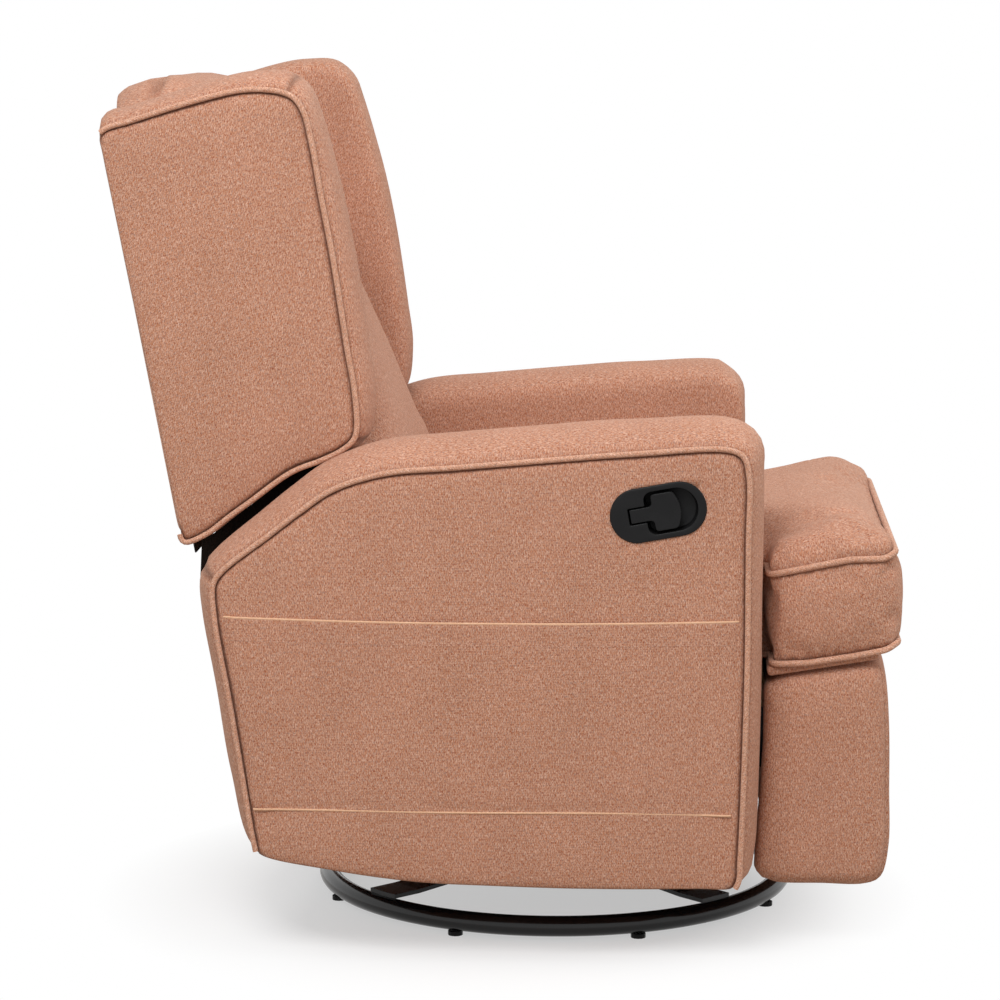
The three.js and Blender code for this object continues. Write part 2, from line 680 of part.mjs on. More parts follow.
// Arms: outline of the outer panel from the side, counter-clockwise, with the fullness of the band
const armShares = [
  [0.081, 0.07, 0], [0.226, 0.033, 0], [0.389, 0.008, 0], [0.521, 0, 0], [0.911, 0, 0], [0.982, 0.004, 0.1],
  [0.992, 0.162, 0.5], [0.998, 0.5, 0.55], [0.998, 0.795, 0.58], [0.998, 0.954, 0.6], [0.989, 0.985, 0.75],
  [0.965, 1, 0.85], [0.787, 0.99, 1], [0.645, 0.977, 1], [0.461, 0.957, 1], [0.321, 0.942, 0.95],
  [0.226, 0.905, 0.85], [0.166, 0.857, 0.8], [0.103, 0.799, 0.75], [0.018, 0.72, 0.6], [0.002, 0.694, 0.45],
  [0.003, 0.613, 0.38], [0.031, 0.418, 0.38], [0.053, 0.246, 0.38], [0.074, 0.091, 0.25],
];
const armCentreShares = [0.55, 0.5];
const armOutline = fromShares(armShares, [armRear, armBase], [armLength, armHeight]);
const armCentre = [armRear + armCentreShares[0] * armLength, armBase + armCentreShares[1] * armHeight];
const armMiddle = armInner + armThickness / 2;
const armOuter = armInner + armThickness;
const slab = (outline, sign, inner, thickness) => solid(plate(outline, sign, inner, thickness));

function armCovers() {
  for (const { name, sign } of sides) {
    const half = armThickness / 2;
    const form = pad({
      outline: armOutline, centre: armCentre, bulge: armCrown,
      bottom: (u, v, edge) => -half - (sign > 0 ? crownAt(armPanelCrown, armCrown, edge) : 0),
      top: (u, v, edge) => half + (sign > 0 ? 0 : crownAt(armPanelCrown, armCrown, edge)),
    });
    form.applyMatrix4(sideFrame);
    form.translate(0, sign * armMiddle, 0);
    const inset = drawnIn(armOutline, armWall);
    const cavity = slab(inset, sign, armInner + armWall, armThickness - 2 * armWall);
    const dropped = solid(plate(inset, sign, armInner + armWall, armThickness - 2 * armWall)
      .translate(0, 0, -armWall - overrun));
    const cuts = [cavity, dropped];
    if (sign < 0) {
      cuts.push(bore(cableHole, sign, armInner, armInner + armWall, cableHoleRadius), bezelCut());
    }
    addPart(`arm_cover_${name}`, "fabric", cutBy(solid(form), cuts));
  }
}

// Timber frame inside each arm
function armFrames() {
  for (const { name, sign } of sides) {
    const outer = drawnIn(armOutline, armWall + seatGap);
    const inner = drawnIn(armOutline, armWall + armFrameWidth);
    const frame = plate(outer, sign, armInner + armWall + seatGap,
      armThickness - 2 * (armWall + seatGap), [[...inner].reverse()]);
    const cuts = sign < 0 ? [bezelCut()] : [];
    addPart(`arm_frame_${name}`, "timber", cutBy(solid(frame), cuts));
  }
}

// Side pocket: a cloth panel held off the arm by its own folded edge, open at the hem
const pocketShares = [[0.07, 0], [0.975, 0], [0.985, 1], [0.02, 1]];
function sidePocket() {
  const size = [armLength, pocketHemHeight - pocketSeamHeight];
  const outline = fromShares(pocketShares, [armRear, pocketSeamHeight], size).map(([u, v]) => [u, v]);
  const start = armOuter + armPanelCrown + seatGap;
  const inner = spread(outline, -pocketCloth).map(([u, v], i) => [u, i > 1 ? v + pocketCloth + overrun : v]);
  const outside = slab(outline, -1, start, pocketDepth + pocketCloth);
  const inside = slab(inner, -1, start - overrun, pocketDepth + overrun);
  addPart("side_pocket", "fabric", cutBy(outside, [inside]));
}

// Recessed plate of the pull lever, drawn flat about its own middle and then tilted
const bezelFace = armOuter + armPanelCrown + seatGap;
const placeBezel = (geometry) => {
  geometry.rotateY(-rad(bezel.tilt));
  return geometry.translate(bezel.x, 0, bezel.z);
};
const rectangle = (from, to, half) => [[from, -half], [to, -half], [to, half], [from, half]];
const stadium = (length, height) =>
  barOutline({ x: (height - length) / 2, z: 0 }, { x: (length - height) / 2, z: 0 }, height, 10);
const cupHeight = 2 * (cup.radius + cup.wall);
const cupLength = bezel.length - bezel.height + cupHeight;
function bezelCut() {
  const outline = stadium(cupLength + 2 * seatGap, cupHeight + 2 * seatGap);
  return solid(placeBezel(plate(outline, -1, bezelFace - bezel.room, bezel.room + overrun)));
}

function handleBezel() {
  const face = solid(placeBezel(plate(stadium(bezel.length, bezel.height), -1, bezelFace, bezel.thickness)));
  const bodyDepth = cup.depth + cup.wall;
  const body = solid(placeBezel(plate(stadium(cupLength, cupHeight), -1, bezelFace - bodyDepth, bodyDepth)));
  const hollowDepth = cup.depth + bezel.thickness + overrun;
  const hollow = (outline) => solid(placeBezel(plate(outline, -1, bezelFace - cup.depth, hollowDepth)));
  const roundEnd = { x: cup.front - cup.radius, z: 0 };
  const round = hollow(barOutline(roundEnd, { x: roundEnd.x - cup.corner, z: 0 }, 2 * cup.radius, 8));
  const square = hollow(rounded([
    [-cup.rear, -cup.radius, cup.corner], [roundEnd.x, -cup.radius, 0],
    [roundEnd.x, cup.radius, 0], [-cup.rear, cup.radius, cup.corner],
  ], 4));
  const slot = hollow(rectangle(-leverSlot.rear, 0, leverSlot.height / 2));
  addPart("handle_bezel", "blackPlastic", cutBy(joined([face, body]), [joined([round, square]), slot]));
}

// T-shaped pull lever, hinged at the rear end of its stem
const leverMiddle = bezelFace + bezel.thickness - lever.thickness / 2;
function releaseLever() {
  const inner = leverMiddle - lever.thickness / 2;
  const { rear, ahead, corner, bow } = lever;
  const stem = lever.stem / 2;
  const half = lever.paddleHeight / 2;
  const rearEdge = ahead - lever.paddle;
  const blade = solid(placeBezel(plate(rounded([
    [-rear, -stem, 0], [rearEdge, -stem, corner], [rearEdge, -half, corner], [ahead - bow, -half, corner],
    [ahead, 0, corner],
    [ahead - bow, half, corner], [rearEdge, half, corner], [rearEdge, stem, corner], [-rear, stem, 0],
  ]), -1, inner, lever.thickness)));
  const pinMiddle = leverPivot - rear;
  const pin = solid(placeBezel(plate(
    rectangle(pinMiddle - leverPinSize / 2, pinMiddle + leverPinSize / 2, leverSlot.height / 2 - leverPinGap),
    -1, leverMiddle - leverPinSize / 2, leverPinSize)));
  addPart("release_lever", "blackPlastic", blade.add(pin));
}

// Release cable inside the arm, from the lever plate down to the latch
function releaseCable() {
  const top = bezelFace - cup.depth - cup.wall - seatGap - cableRadius;
  const points = [
    [bezel.x - cupLength / 3, -top, bezel.z],
    [bezel.x - lever.rear - armWall, -armMiddle, bezel.z - armWall * 3],
    [cableHole.x - armWall / 4, -armMiddle, cableHole.z + armWall * 3],
    [cableHole.x, -armInner - armWall, cableHole.z],
    [cableHole.x, -sidePlateInner, cableHole.z],
  ].map((point) => new THREE.Vector3(...point));
  const section = new THREE.Shape(Array.from({ length: 6 }, (_, k) => new THREE.Vector2(
    cableRadius * Math.cos((Math.PI * k) / 3), cableRadius * Math.sin((Math.PI * k) / 3))));
  const cable = new THREE.ExtrudeGeometry(section, {
    steps: 40, bevelEnabled: false, extrudePath: new THREE.CatmullRomCurve3(points, false, "centripetal"),
  });
  addPart("release_cable", "blackPlastic", solid(cable));
}

// Latch pawl on the inner face of the right side plate
function latchPawl() {
  const tail = { x: latchPivot.x - pawlLength, z: latchPivot.z - linkWidth / 4 };
  const bar = strap([tail, latchPivot], linkWidth, -1, steeringInner, plateThickness);
  const hole = bore(latchPivot, -1, steeringInner, steeringInner + plateThickness);
  addPart("latch_pawl", "zinc", cutBy(bar, [hole]));
}

// Lower rear panel between the arms
function lowerRearPanel() {
  const { bottomX, bottomZ, topX, topZ, thickness, crown } = rearPanel;
  const height = Math.hypot(topX - bottomX, topZ - bottomZ);
  const slope = [(topX - bottomX) / height, 0, (topZ - bottomZ) / height];
  const frame = frameOf([bottomX, 0, bottomZ], [0, -1, 0], slope, [-slope[2], 0, slope[0]]);
  const half = armInner - 2 * seatGap;
  const outline = rounded([
    [-half, 0, thickness], [half, 0, thickness], [half, height, thickness], [-half, height, thickness],
  ], 2);
  const form = pad({
    outline, centre: [0, height / 2], bulge: 0,
    bottom: () => -thickness,
    top: (u, v, edge) => crownAt(crown, height / 4, edge),
  });
  addPart("lower_rear_panel", "fabric", solid(form.applyMatrix4(frame)));
}

// Back frame, its two brackets and the recline pivots
const backBracketInner = backFrameHalfWidth + layerGap;
const backBracketOuter = backBracketInner + plateThickness;
const toBack = (geometry) => geometry.applyMatrix4(backFrame);
function backStructure() {
  const half = backFrameHalfWidth;
  // The top corners are cut off, inside the rounding of the head cushion
  const shoulder = backFrameTop - backFrameCorner.down;
  const shorter = half - backFrameCorner.across;
  const shape = new THREE.Shape([
    [-half, backFrameBottom], [half, backFrameBottom], [half, shoulder],
    [shorter, backFrameTop], [-shorter, backFrameTop], [-half, shoulder],
  ].map(([u, v]) => new THREE.Vector2(u, v)));
  const outer = new THREE.ExtrudeGeometry(shape, { depth: backFrameThickness, bevelEnabled: false });
  const inside = half - backFrameMember;
  const middle = (backFrameBottom + backFrameTop) / 2;
  const windows = [
    [backFrameBottom + backFrameMember, middle - backFrameMember / 2],
    [middle + backFrameMember / 2, backFrameTop - backFrameMember],
  ].map(([from, to]) => solid(toBack(
    block([-inside, from, -overrun], [inside, to, backFrameThickness + overrun]))));
  addPart("back_frame", "timber", cutBy(solid(toBack(outer)), windows));
  const path = [reclinePivot, bracketKnee, bracketBend, bracketEnd];
  for (const { name, sign } of sides) {
    const bracket = strap(path, backBracketWidth, sign, backBracketInner, plateThickness);
    const hole = bore(reclinePivot, sign, backBracketInner, backBracketOuter, reclinePin / 2 + pinPlay);
    addPart(`back_bracket_${name}`, "steel", bracket.subtract(hole));
  }
}

// Wings: outline of the outer panel from the side, counter-clockwise, with the fullness of the band
const wingShares = [
  [0.311, 0, 0.1], [0.402, 0.019, 0.1], [0.486, 0.055, 0.1], [0.574, 0.091, 0.1], [0.743, 0.159, 0.1],
  [0.868, 0.187, 0.1], [0.953, 0.212, 0.15], [0.997, 0.238, 0.5], [0.997, 0.329, 0.9], [0.966, 0.435, 1],
  [0.912, 0.635, 1], [0.868, 0.767, 1], [0.831, 0.888, 1], [0.804, 0.949, 1], [0.767, 0.981, 1],
  [0.716, 0.994, 1], [0.615, 1, 0.95], [0.537, 0.996, 0.95], [0.358, 0.972, 0.9], [0.118, 0.93, 0.8],
  [0.024, 0.913, 0.4], [0.007, 0.9, 0], [0.132, 0.518, 0], [0.22, 0.253, 0], [0.294, 0.026, 0],
];
const wingCentreShares = [0.53, 0.5];
function wings() {
  const wingHeight = wingTop - wingBase;
  const outline = fromShares(wingShares, [wingRear, wingBase], [wingLength, wingHeight]);
  const centre = [wingRear + wingCentreShares[0] * wingLength, wingBase + wingCentreShares[1] * wingHeight];
  const half = (wingOuter - wingInner) / 2;
  for (const { name, sign } of sides) {
    const form = pad({
      outline, centre, bulge: wingCrown,
      bottom: (u, v, edge) => -half - (sign > 0 ? crownAt(wingPanelCrown, wingCrown, edge) : 0),
      top: (u, v, edge) => half + (sign > 0 ? 0 : crownAt(wingPanelCrown, wingCrown, edge)),
    });
    form.applyMatrix4(sideFrame);
    form.translate(0, sign * (wingInner + half), 0);
    addPart(`wing_${name}`, "fabric", solid(form));
  }
}

// Front face of the back cushion at its middle: shares of its height and of its depth at the seat
const backProfileShares = [
  [0, 0.905], [0.08, 0.98], [0.19, 1], [0.27, 0.98], [0.33, 0.955], [0.42, 0.905],
  [0.54, 0.82], [0.7, 0.723], [0.85, 0.627], [0.95, 0.5], [1, 0.33],
];
const backEdgeShares = [0.08, 0.22, 0.4, 0.58, 0.76, 0.9];
function backFront(v) {
  const share = (v - backCushionBottom) / (backCushionTop - backCushionBottom);
  const next = Math.max(1, backProfileShares.findIndex(([s]) => s >= share));
  const [[s0, d0], [s1, d1]] = [backProfileShares[next - 1], backProfileShares[next]];
  return backCushionDepth * (d0 + ((d1 - d0) * (share - s0)) / (s1 - s0));
}

function backCushion() {
  const narrow = backFrameHalfWidth;
  const wide = backCushionHalfWidth;
  const edges = backEdgeShares.map((share) =>
    backCushionWideTop + share * (backCushionTop - backCushionWideTop));
  const corner = backCushionCorner;
  const outline = rounded([
    [-wide, backCushionBottom, corner / 2], [wide, backCushionBottom, corner / 2],
    [wide, backCushionWideTop, corner / 2], [narrow, backCushionWideTop, 0],
    ...edges.map((v) => [narrow, v, 0]),
    [narrow, backCushionTop, corner], [-narrow, backCushionTop, corner],
    ...[...edges].reverse().map((v) => [-narrow, v, 0]),
    [-narrow, backCushionWideTop, 0], [-wide, backCushionWideTop, corner / 2],
  ]);
  const rear = (v) => (v > backCushionWideTop
    ? backFrameThickness + seatGap
    : (lumbarRearX - backFoot.x + v * Math.sin(lean)) / Math.cos(lean));
  const form = pad({
    outline, centre: [0, 0], bulge: 0,
    bottom: (u, v) => rear(v),
    top: (u, v, edge) => backFront(v) - backCushionCrown + crownAt(backCushionCrown, backCushionReach, edge),
  });
  addPart("back_cushion", "fabric", solid(toBack(form)));
}

function rearCover() {
  const half = backCoverHalfWidth;
  const shoulder = backCoverTop - 2 * backCoverCrown;
  const outline = rounded([
    [-half, backCoverBottom, backCoverCrown], [half, backCoverBottom, backCoverCrown],
    [half, shoulder, backCoverCrown], [half / 2, backCoverTop, half / 4],
    [-half / 2, backCoverTop, half / 4], [-half, shoulder, backCoverCrown],
  ]);
  const form = pad({
    outline, centre: [0, backCoverTop / 2], bulge: 0,
    bottom: (u, v, edge) => -backCoverEdge - crownAt(backCoverCrown, half / 2, edge),
    top: () => -2 * seatGap,
  });
  addPart("rear_cover", "fabric", solid(toBack(form)));
}

// Footrest pad from the side, counter-clockwise, with the fullness of its faces
const footrestShares = [
  [0, 0.07, 0], [0.05, 0, 0.2], [0.83, 0, 0.4], [0.95, 0.035, 0.8], [1, 0.14, 1], [1, 0.4, 1], [0.99, 0.66, 1],
  [0.97, 0.88, 0.8], [0.93, 0.985, 0.5], [0.5, 0.96, 0.4], [0.03, 0.9, 0.1], [0, 0.87, 0],
];
const footrestBand = [
  [0, 0], [0.015, 0.55], [0.05, 0.85], [0.2, 1], [0.5, 1], [0.8, 1], [0.95, 0.85], [0.985, 0.55], [1, 0],
];
const boardLow = footrest.base + boardMargin;
const boardHigh = footrest.top - 2 * boardMargin;
function footrestPad() {
  const size = [footrest.front - footrest.rear - footrestCrown, footrest.top - footrest.base];
  const outline = fromShares(footrestShares, [footrest.rear, footrest.base], size);
  const half = footrest.halfWidth - footrestPanelCrown;
  const crown = (edge) => crownAt(footrestPanelCrown, footrest.halfWidth / 8, edge);
  const form = pad({
    outline, centre: [footrest.rear + size[0] / 2, footrest.base + size[1] / 2], bulge: footrestCrown,
    bottom: (u, v, edge) => -half - crown(edge),
    top: (u, v, edge) => half + crown(edge),
    band: footrestBand, rings: [0.8, 0.4],
  });
  const recess = block(
    [footrest.rear - overrun, -boardHalfWidth - seatGap, boardLow - seatGap],
    [footrest.rear + boardThickness + seatGap, boardHalfWidth + seatGap, boardHigh + seatGap]);
  addPart("footrest_pad", "fabric", solid(form.applyMatrix4(sideFrame)).subtract(solid(recess)));
  const board = block([footrest.rear, -boardHalfWidth, boardLow],
    [footrest.rear + boardThickness, boardHalfWidth, boardHigh]);
  addPart("footrest_board", "timber", solid(board));
}

function footrestBrackets() {
  const flangeFront = footrest.rear - seatGap;
  for (const { name, sign } of sides) {
    const faceX = flangeFront - linkWidth / 2;
    const path = [{ x: faceX, z: padPivot.z }, padPivot, steeringEnd];
    const legs = strap(path, linkWidth, sign, linkInner, plateThickness);
    const outer = linkInner + plateThickness;
    const inner = linkInner - flangeWidth;
    const flange = solid(block(
      [flangeFront - plateThickness / 2, Math.min(sign * inner, sign * outer), padPivot.z - 2 * linkWidth],
      [flangeFront, Math.max(sign * inner, sign * outer), padPivot.z + 2 * linkWidth]));
    const web = solid(plate([
      [padPivot.x, padPivot.z - linkWidth / 2], [flangeFront, padPivot.z - 2 * linkWidth],
      [flangeFront, padPivot.z + 2 * linkWidth], [padPivot.x, padPivot.z + linkWidth / 2],
    ], sign, linkInner, plateThickness));
    const joint = stud(steeringEnd, sign, linkInner, steeringInner + plateThickness);
    const body = joined([legs, flange, web, joint]);
    addPart(`footrest_bracket_${name}`, "steel", body.subtract(bore(padPivot, sign, linkInner, outer)));
  }
}

floorRing();
crossBars();
swivelRaces();
swivelDeck();
glideLinks();
glideShoes();
sidePlates();
crossTubes();
footrestLinks();
seatFrameRails();
seatSprings();
seatCushion();
seatNose();
armCovers();
armFrames();
sidePocket();
handleBezel();
releaseLever();
releaseCable();
latchPawl();
lowerRearPanel();
backStructure();
wings();
backCushion();
rearCover();
footrestPad();
footrestBrackets();

export default chair;
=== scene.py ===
import math

import bmesh
import bpy
import numpy as np
from mathutils import Matrix, Vector, noise
from mathutils.kdtree import KDTree


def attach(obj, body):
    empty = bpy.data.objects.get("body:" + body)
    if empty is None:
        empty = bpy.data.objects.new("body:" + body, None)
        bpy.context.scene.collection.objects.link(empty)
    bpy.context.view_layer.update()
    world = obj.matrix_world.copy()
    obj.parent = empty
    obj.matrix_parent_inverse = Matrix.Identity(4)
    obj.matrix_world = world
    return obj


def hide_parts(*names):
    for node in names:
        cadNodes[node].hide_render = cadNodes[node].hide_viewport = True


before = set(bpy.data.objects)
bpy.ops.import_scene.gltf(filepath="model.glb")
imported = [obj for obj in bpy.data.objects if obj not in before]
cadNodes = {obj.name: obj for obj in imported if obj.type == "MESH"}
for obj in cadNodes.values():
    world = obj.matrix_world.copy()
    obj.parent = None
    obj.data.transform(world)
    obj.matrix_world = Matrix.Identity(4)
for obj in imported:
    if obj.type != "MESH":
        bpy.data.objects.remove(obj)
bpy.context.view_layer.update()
print("frame loaded:", len(cadNodes), "nodes")

# Shared helpers
swivelAhead = 60.0  # outlines below are in millimetres from the swivel axis, +X ahead, +Z up
mm = 0.001
sides = {"Left": 1, "Right": -1}


def toRow(points):
    moved = np.array(points, float).copy()
    moved[:, 0] += swivelAhead
    return moved * mm


def resample(points, spacing, closed):
    # Even spacing along a polyline of [a, b, ...extras], measured in its first two or three columns
    pts = np.array(points, float)
    if closed:
        pts = np.vstack([pts, pts[:1]])
    steps = np.linalg.norm(np.diff(pts[:, :3], axis=0), axis=1)
    run = np.concatenate([[0], np.cumsum(steps)])
    count = max(3, int(round(run[-1] / spacing)))
    marks = np.linspace(0, run[-1], count + 1)
    if closed:
        marks = marks[:-1]
    return np.stack([np.interp(marks, run, pts[:, k]) for k in range(pts.shape[1])], 1)


def curveThrough(points, spacing, fine=14):
    # A closed centripetal Catmull-Rom curve through the points, evenly resampled
    pts = np.array(points, float)
    made = []
    for i in range(len(pts)):
        p = [pts[(i + k - 1) % len(pts)] for k in range(4)]
        knots = [0.0]
        for k in range(3):
            knots.append(knots[-1] + max(1e-6, np.linalg.norm(p[k + 1] - p[k])) ** 0.5)

        def between(a, b, low, high):
            return ((knots[high] - t) * a + (t - knots[low]) * b) / (knots[high] - knots[low])

        for t in np.linspace(knots[1], knots[2], fine, endpoint=False):
            a = [between(p[k], p[k + 1], k, k + 1) for k in range(3)]
            b = [between(a[k], a[k + 1], k, k + 2) for k in range(2)]
            made.append(between(b[0], b[1], 1, 2))
    return resample(made, spacing, True)


def outward(loop):
    # Unit normals of a counter-clockwise closed outline
    ahead = np.roll(loop[:, :2], -1, 0) - np.roll(loop[:, :2], 1, 0)
    normal = np.stack([ahead[:, 1], -ahead[:, 0]], 1)
    return normal / np.maximum(1e-9, np.linalg.norm(normal, axis=1))[:, None]


def offsetLoop(loop, distance):
    return loop[:, :2] + outward(loop) * np.reshape(distance, (-1, 1))


def towards(centre, points, share):
    return centre + (points - centre) * share


def drawnIn(loop, centre, distance):
    # Moves an outline towards a centre until each point lies about a distance from the edge
    ray = centre - loop[:, :2]
    unit = ray / np.linalg.norm(ray, axis=1)[:, None]
    facing = np.clip(-(unit * outward(loop)).sum(1), 0.45, 1)
    return loop[:, :2] + unit * (distance / facing)[:, None]


def edgeDistance(points, loop):
    gaps = np.linalg.norm(points[:, None, :2] - loop[None, :, :2], axis=2)
    return gaps.min(1)


def rise(distance, reach):
    return np.sqrt(1 - (1 - np.clip(distance / reach, 0, 1)) ** 2)


def linked(name, data):
    obj = bpy.data.objects.new(name, data)
    bpy.context.scene.collection.objects.link(obj)
    return obj


def meshObject(name, vertices, faces):
    mesh = bpy.data.meshes.new(name)
    mesh.from_pydata([tuple(map(float, v)) for v in vertices], [], faces)
    mesh.update()
    return linked(name, mesh)


def faceOut(obj, merge=True):
    made = bmesh.new()
    made.from_mesh(obj.data)
    if merge:
        bmesh.ops.remove_doubles(made, verts=made.verts, dist=1e-6)
    bmesh.ops.recalc_face_normals(made, faces=made.faces)
    made.to_mesh(obj.data)
    made.free()
    obj.data.update()
    return obj


def ringsObject(name, rings, startPole, endPole):
    # A closed form from rings of equal length with a fan at each end, in row metres
    count = len(rings[0])
    vertices = [startPole] + [p for ring in rings for p in ring] + [endPole]
    faces = []
    for i in range(count):
        j = (i + 1) % count
        faces.append((0, 1 + j, 1 + i))
        for r in range(len(rings) - 1):
            low, high = 1 + r * count, 1 + (r + 1) * count
            faces.append((low + i, low + j, high + j, high + i))
        last = 1 + (len(rings) - 1) * count
        faces.append((last + i, last + j, len(vertices) - 1))
    return faceOut(meshObject(name, vertices, faces))


def smoothShade(obj, angle=None):
    obj.data.polygons.foreach_set("use_smooth", [True] * len(obj.data.polygons))
    if angle is not None:
        obj.data.set_sharp_from_angle(angle=math.radians(angle))
    obj.data.update()
    return obj


def vertexArrays(obj):
    count = len(obj.data.vertices)
    co = np.zeros(count * 3)
    no = np.zeros(count * 3)
    obj.data.vertices.foreach_get("co", co)
    obj.data.vertices.foreach_get("normal", no)
    return co.reshape(-1, 3), no.reshape(-1, 3)


def setVertices(obj, co):
    obj.data.vertices.foreach_set("co", np.asarray(co, float).reshape(-1))
    obj.data.update()


def applied(obj):
    # Bakes the live modifiers of an object into its mesh
    graph = bpy.context.evaluated_depsgraph_get()
    mesh = bpy.data.meshes.new_from_object(obj.evaluated_get(graph))
    obj.modifiers.clear()
    obj.data = mesh
    return obj


def subdivided(obj, levels=1):
    step = obj.modifiers.new("Subdivision", "SUBSURF")
    step.levels = levels
    step.render_levels = levels
    return applied(obj)


def softRipple(obj, height, size, seed, squeeze=(1, 1, 1)):
    # Low, broad unevenness of stuffed cloth
    co, no = vertexArrays(obj)
    for i, p in enumerate(co):
        place = Vector(p * squeeze) / size + Vector((seed, seed, seed))
        co[i] += no[i] * height * noise.noise(place)
    setVertices(obj, co)
    return obj


def treeOf(points):
    tree = KDTree(len(points))
    for i, p in enumerate(points):
        tree.insert(Vector(p), i)
    tree.balance()
    return tree


def pressSeam(obj, path, reach, depth, pucker=0.0, pitch=0.016):
    # Draws the surface in along a seam, with small puckers beside it
    tree = treeOf(path)
    run = np.concatenate([[0], np.cumsum(np.linalg.norm(np.diff(path, axis=0), axis=1))])
    co, no = vertexArrays(obj)
    for i, p in enumerate(co):
        _, k, far = tree.find(Vector(p))
        if far < reach * 3:
            pull = depth * math.exp(-((far / reach) ** 2) * 2.2)
            if pucker:
                wave = math.sin(run[k] / pitch * 2 * math.pi + 2.3 * noise.noise(Vector((run[k] * 30, 0, 3))))
                pull += pucker * wave * math.exp(-((far / (reach * 1.6)) ** 2))
            co[i] -= no[i] * pull
    setVertices(obj, co)
    return obj


def shadeSeams(obj, paths, reach, plain=0.0015):
    # Marks painted shade in the groove beside each seam, fully dark over a plain width, for a darker cloth
    # colour there
    tree = treeOf(np.vstack(paths))
    co, _ = vertexArrays(obj)
    dark = [math.exp(-((max(0.0, tree.find(Vector(p))[2] - plain) / reach) ** 2)) for p in co]
    mark = obj.data.attributes.new("seamShade", "FLOAT", "POINT")
    mark.data.foreach_set("value", dark)


def tube(name, path, radius, closed=False, sections=10):
    # A round cord with its own UV map: u round it, v along it, both in metres
    path = np.array(path, float)
    count = len(path)
    tangents = np.roll(path, -1, 0) - np.roll(path, 1, 0) if closed else np.gradient(path, axis=0)
    tangents /= np.linalg.norm(tangents, axis=1)[:, None]
    side = np.cross(tangents[0], [0.123, 0.456, 0.881])
    side /= np.linalg.norm(side)
    frames = []
    for t in tangents:
        side = side - t * np.dot(side, t)
        side /= np.linalg.norm(side)
        frames.append((side.copy(), np.cross(t, side)))
    twist = 0.0
    if closed:
        s0, u0 = frames[0]
        last = frames[-1][0] - tangents[0] * np.dot(frames[-1][0], tangents[0])
        twist = math.atan2(np.dot(last, u0), np.dot(last, s0))
    steps = np.linalg.norm(np.diff(np.vstack([path, path[:1]]), axis=0), axis=1)
    run = np.concatenate([[0], np.cumsum(steps)])
    vertices, faces, uvs = [], [], []
    for i, (p, (s, u)) in enumerate(zip(path, frames)):
        turn = -twist * i / count if closed else 0.0
        for k in range(sections):
            angle = 2 * math.pi * k / sections + turn
            vertices.append(p + radius * (math.cos(angle) * s + math.sin(angle) * u))
    for i in range(count if closed else count - 1):
        j = (i + 1) % count
        for k in range(sections):
            m = (k + 1) % sections
            faces.append((i * sections + k, i * sections + m, j * sections + m, j * sections + k))
            a, b = (step / sections * 2 * math.pi * radius for step in (k, k + 1))
            uvs += [(a, run[i]), (b, run[i]), (b, run[i + 1]), (a, run[i + 1])]
    if not closed:
        for end, order in ((0, 1), (count - 1, -1)):
            ring = [end * sections + k for k in range(sections)][:: -order]
            faces.append(tuple(ring))
            uvs += [(0, 0)] * sections
    obj = meshObject(name, vertices, faces)
    layer = obj.data.uv_layers.new(name="weaveMap")
    layer.data.foreach_set("uv", np.array(uvs, float).reshape(-1))
    return smoothShade(faceOut(obj, merge=False), 60)


def weaveMap(obj, tilt=0.0):
    # UV map in metres, laid on from the side, the front or above, whichever each face looks to
    mesh = obj.data
    turn = np.array(Matrix.Rotation(math.radians(tilt), 3, "Y"))
    co, _ = vertexArrays(obj)
    co = co @ turn.T
    normals = np.zeros(len(mesh.polygons) * 3)
    mesh.polygons.foreach_get("normal", normals)
    normals = np.abs(normals.reshape(-1, 3) @ turn.T)
    totals = np.zeros(len(mesh.polygons), int)
    mesh.polygons.foreach_get("loop_total", totals)
    corner = np.zeros(len(mesh.loops), int)
    mesh.loops.foreach_get("vertex_index", corner)
    pick = np.repeat(normals.argmax(1), totals)
    p = co[corner]
    fromFront = np.where((pick == 0)[:, None], p[:, [1, 2]], p[:, [1, 0]])
    uv = np.where((pick == 1)[:, None], p[:, [0, 2]], fromFront)
    layer = mesh.uv_layers.get("weaveMap") or mesh.uv_layers.new(name="weaveMap")
    layer.data.foreach_set("uv", uv.reshape(-1))
    return obj


def dress(obj, material):
    obj.data.materials.clear()
    obj.data.materials.append(material)
    return obj


def declared(obj, body, node=None):
    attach(obj, body)
    if node:
        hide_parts(node)
    return obj


# Materials
def newGroup(name, inputs, outputs):
    group = bpy.data.node_groups.new(name, "ShaderNodeTree")
    for label, kind, value in inputs:
        socket = group.interface.new_socket(label, in_out="INPUT", socket_type=kind)
        if value is not None:
            socket.default_value = value
    for label, kind in outputs:
        group.interface.new_socket(label, in_out="OUTPUT", socket_type=kind)
    return group, group.nodes.new("NodeGroupInput"), group.nodes.new("NodeGroupOutput")


def addNode(tree, kind, links=(), **settings):
    node = tree.nodes.new(kind)
    for key, value in settings.items():
        setattr(node, key, value)
    for socket, source in links:
        if isinstance(source, bpy.types.NodeSocket):
            tree.links.new(source, node.inputs[socket])
        else:
            node.inputs[socket].default_value = source
    return node


def mathOf(tree, operation, a, b=0.0):
    return addNode(tree, "ShaderNodeMath", [(0, a), (1, b)], operation=operation).outputs[0]


def inMillimetres(tree, place):
    return addNode(tree, "ShaderNodeVectorMath", [(0, place), (1, (1000, 1000, 1000))],
                   operation="MULTIPLY").outputs[0]


def noiseOf(tree, vector, scale, detail=2.0, roughness=0.55, distortion=0.0):
    return addNode(tree, "ShaderNodeTexNoise", [
        ("Vector", vector), ("Scale", scale), ("Detail", detail), ("Roughness", roughness),
        ("Distortion", distortion),
    ]).outputs["Fac"]


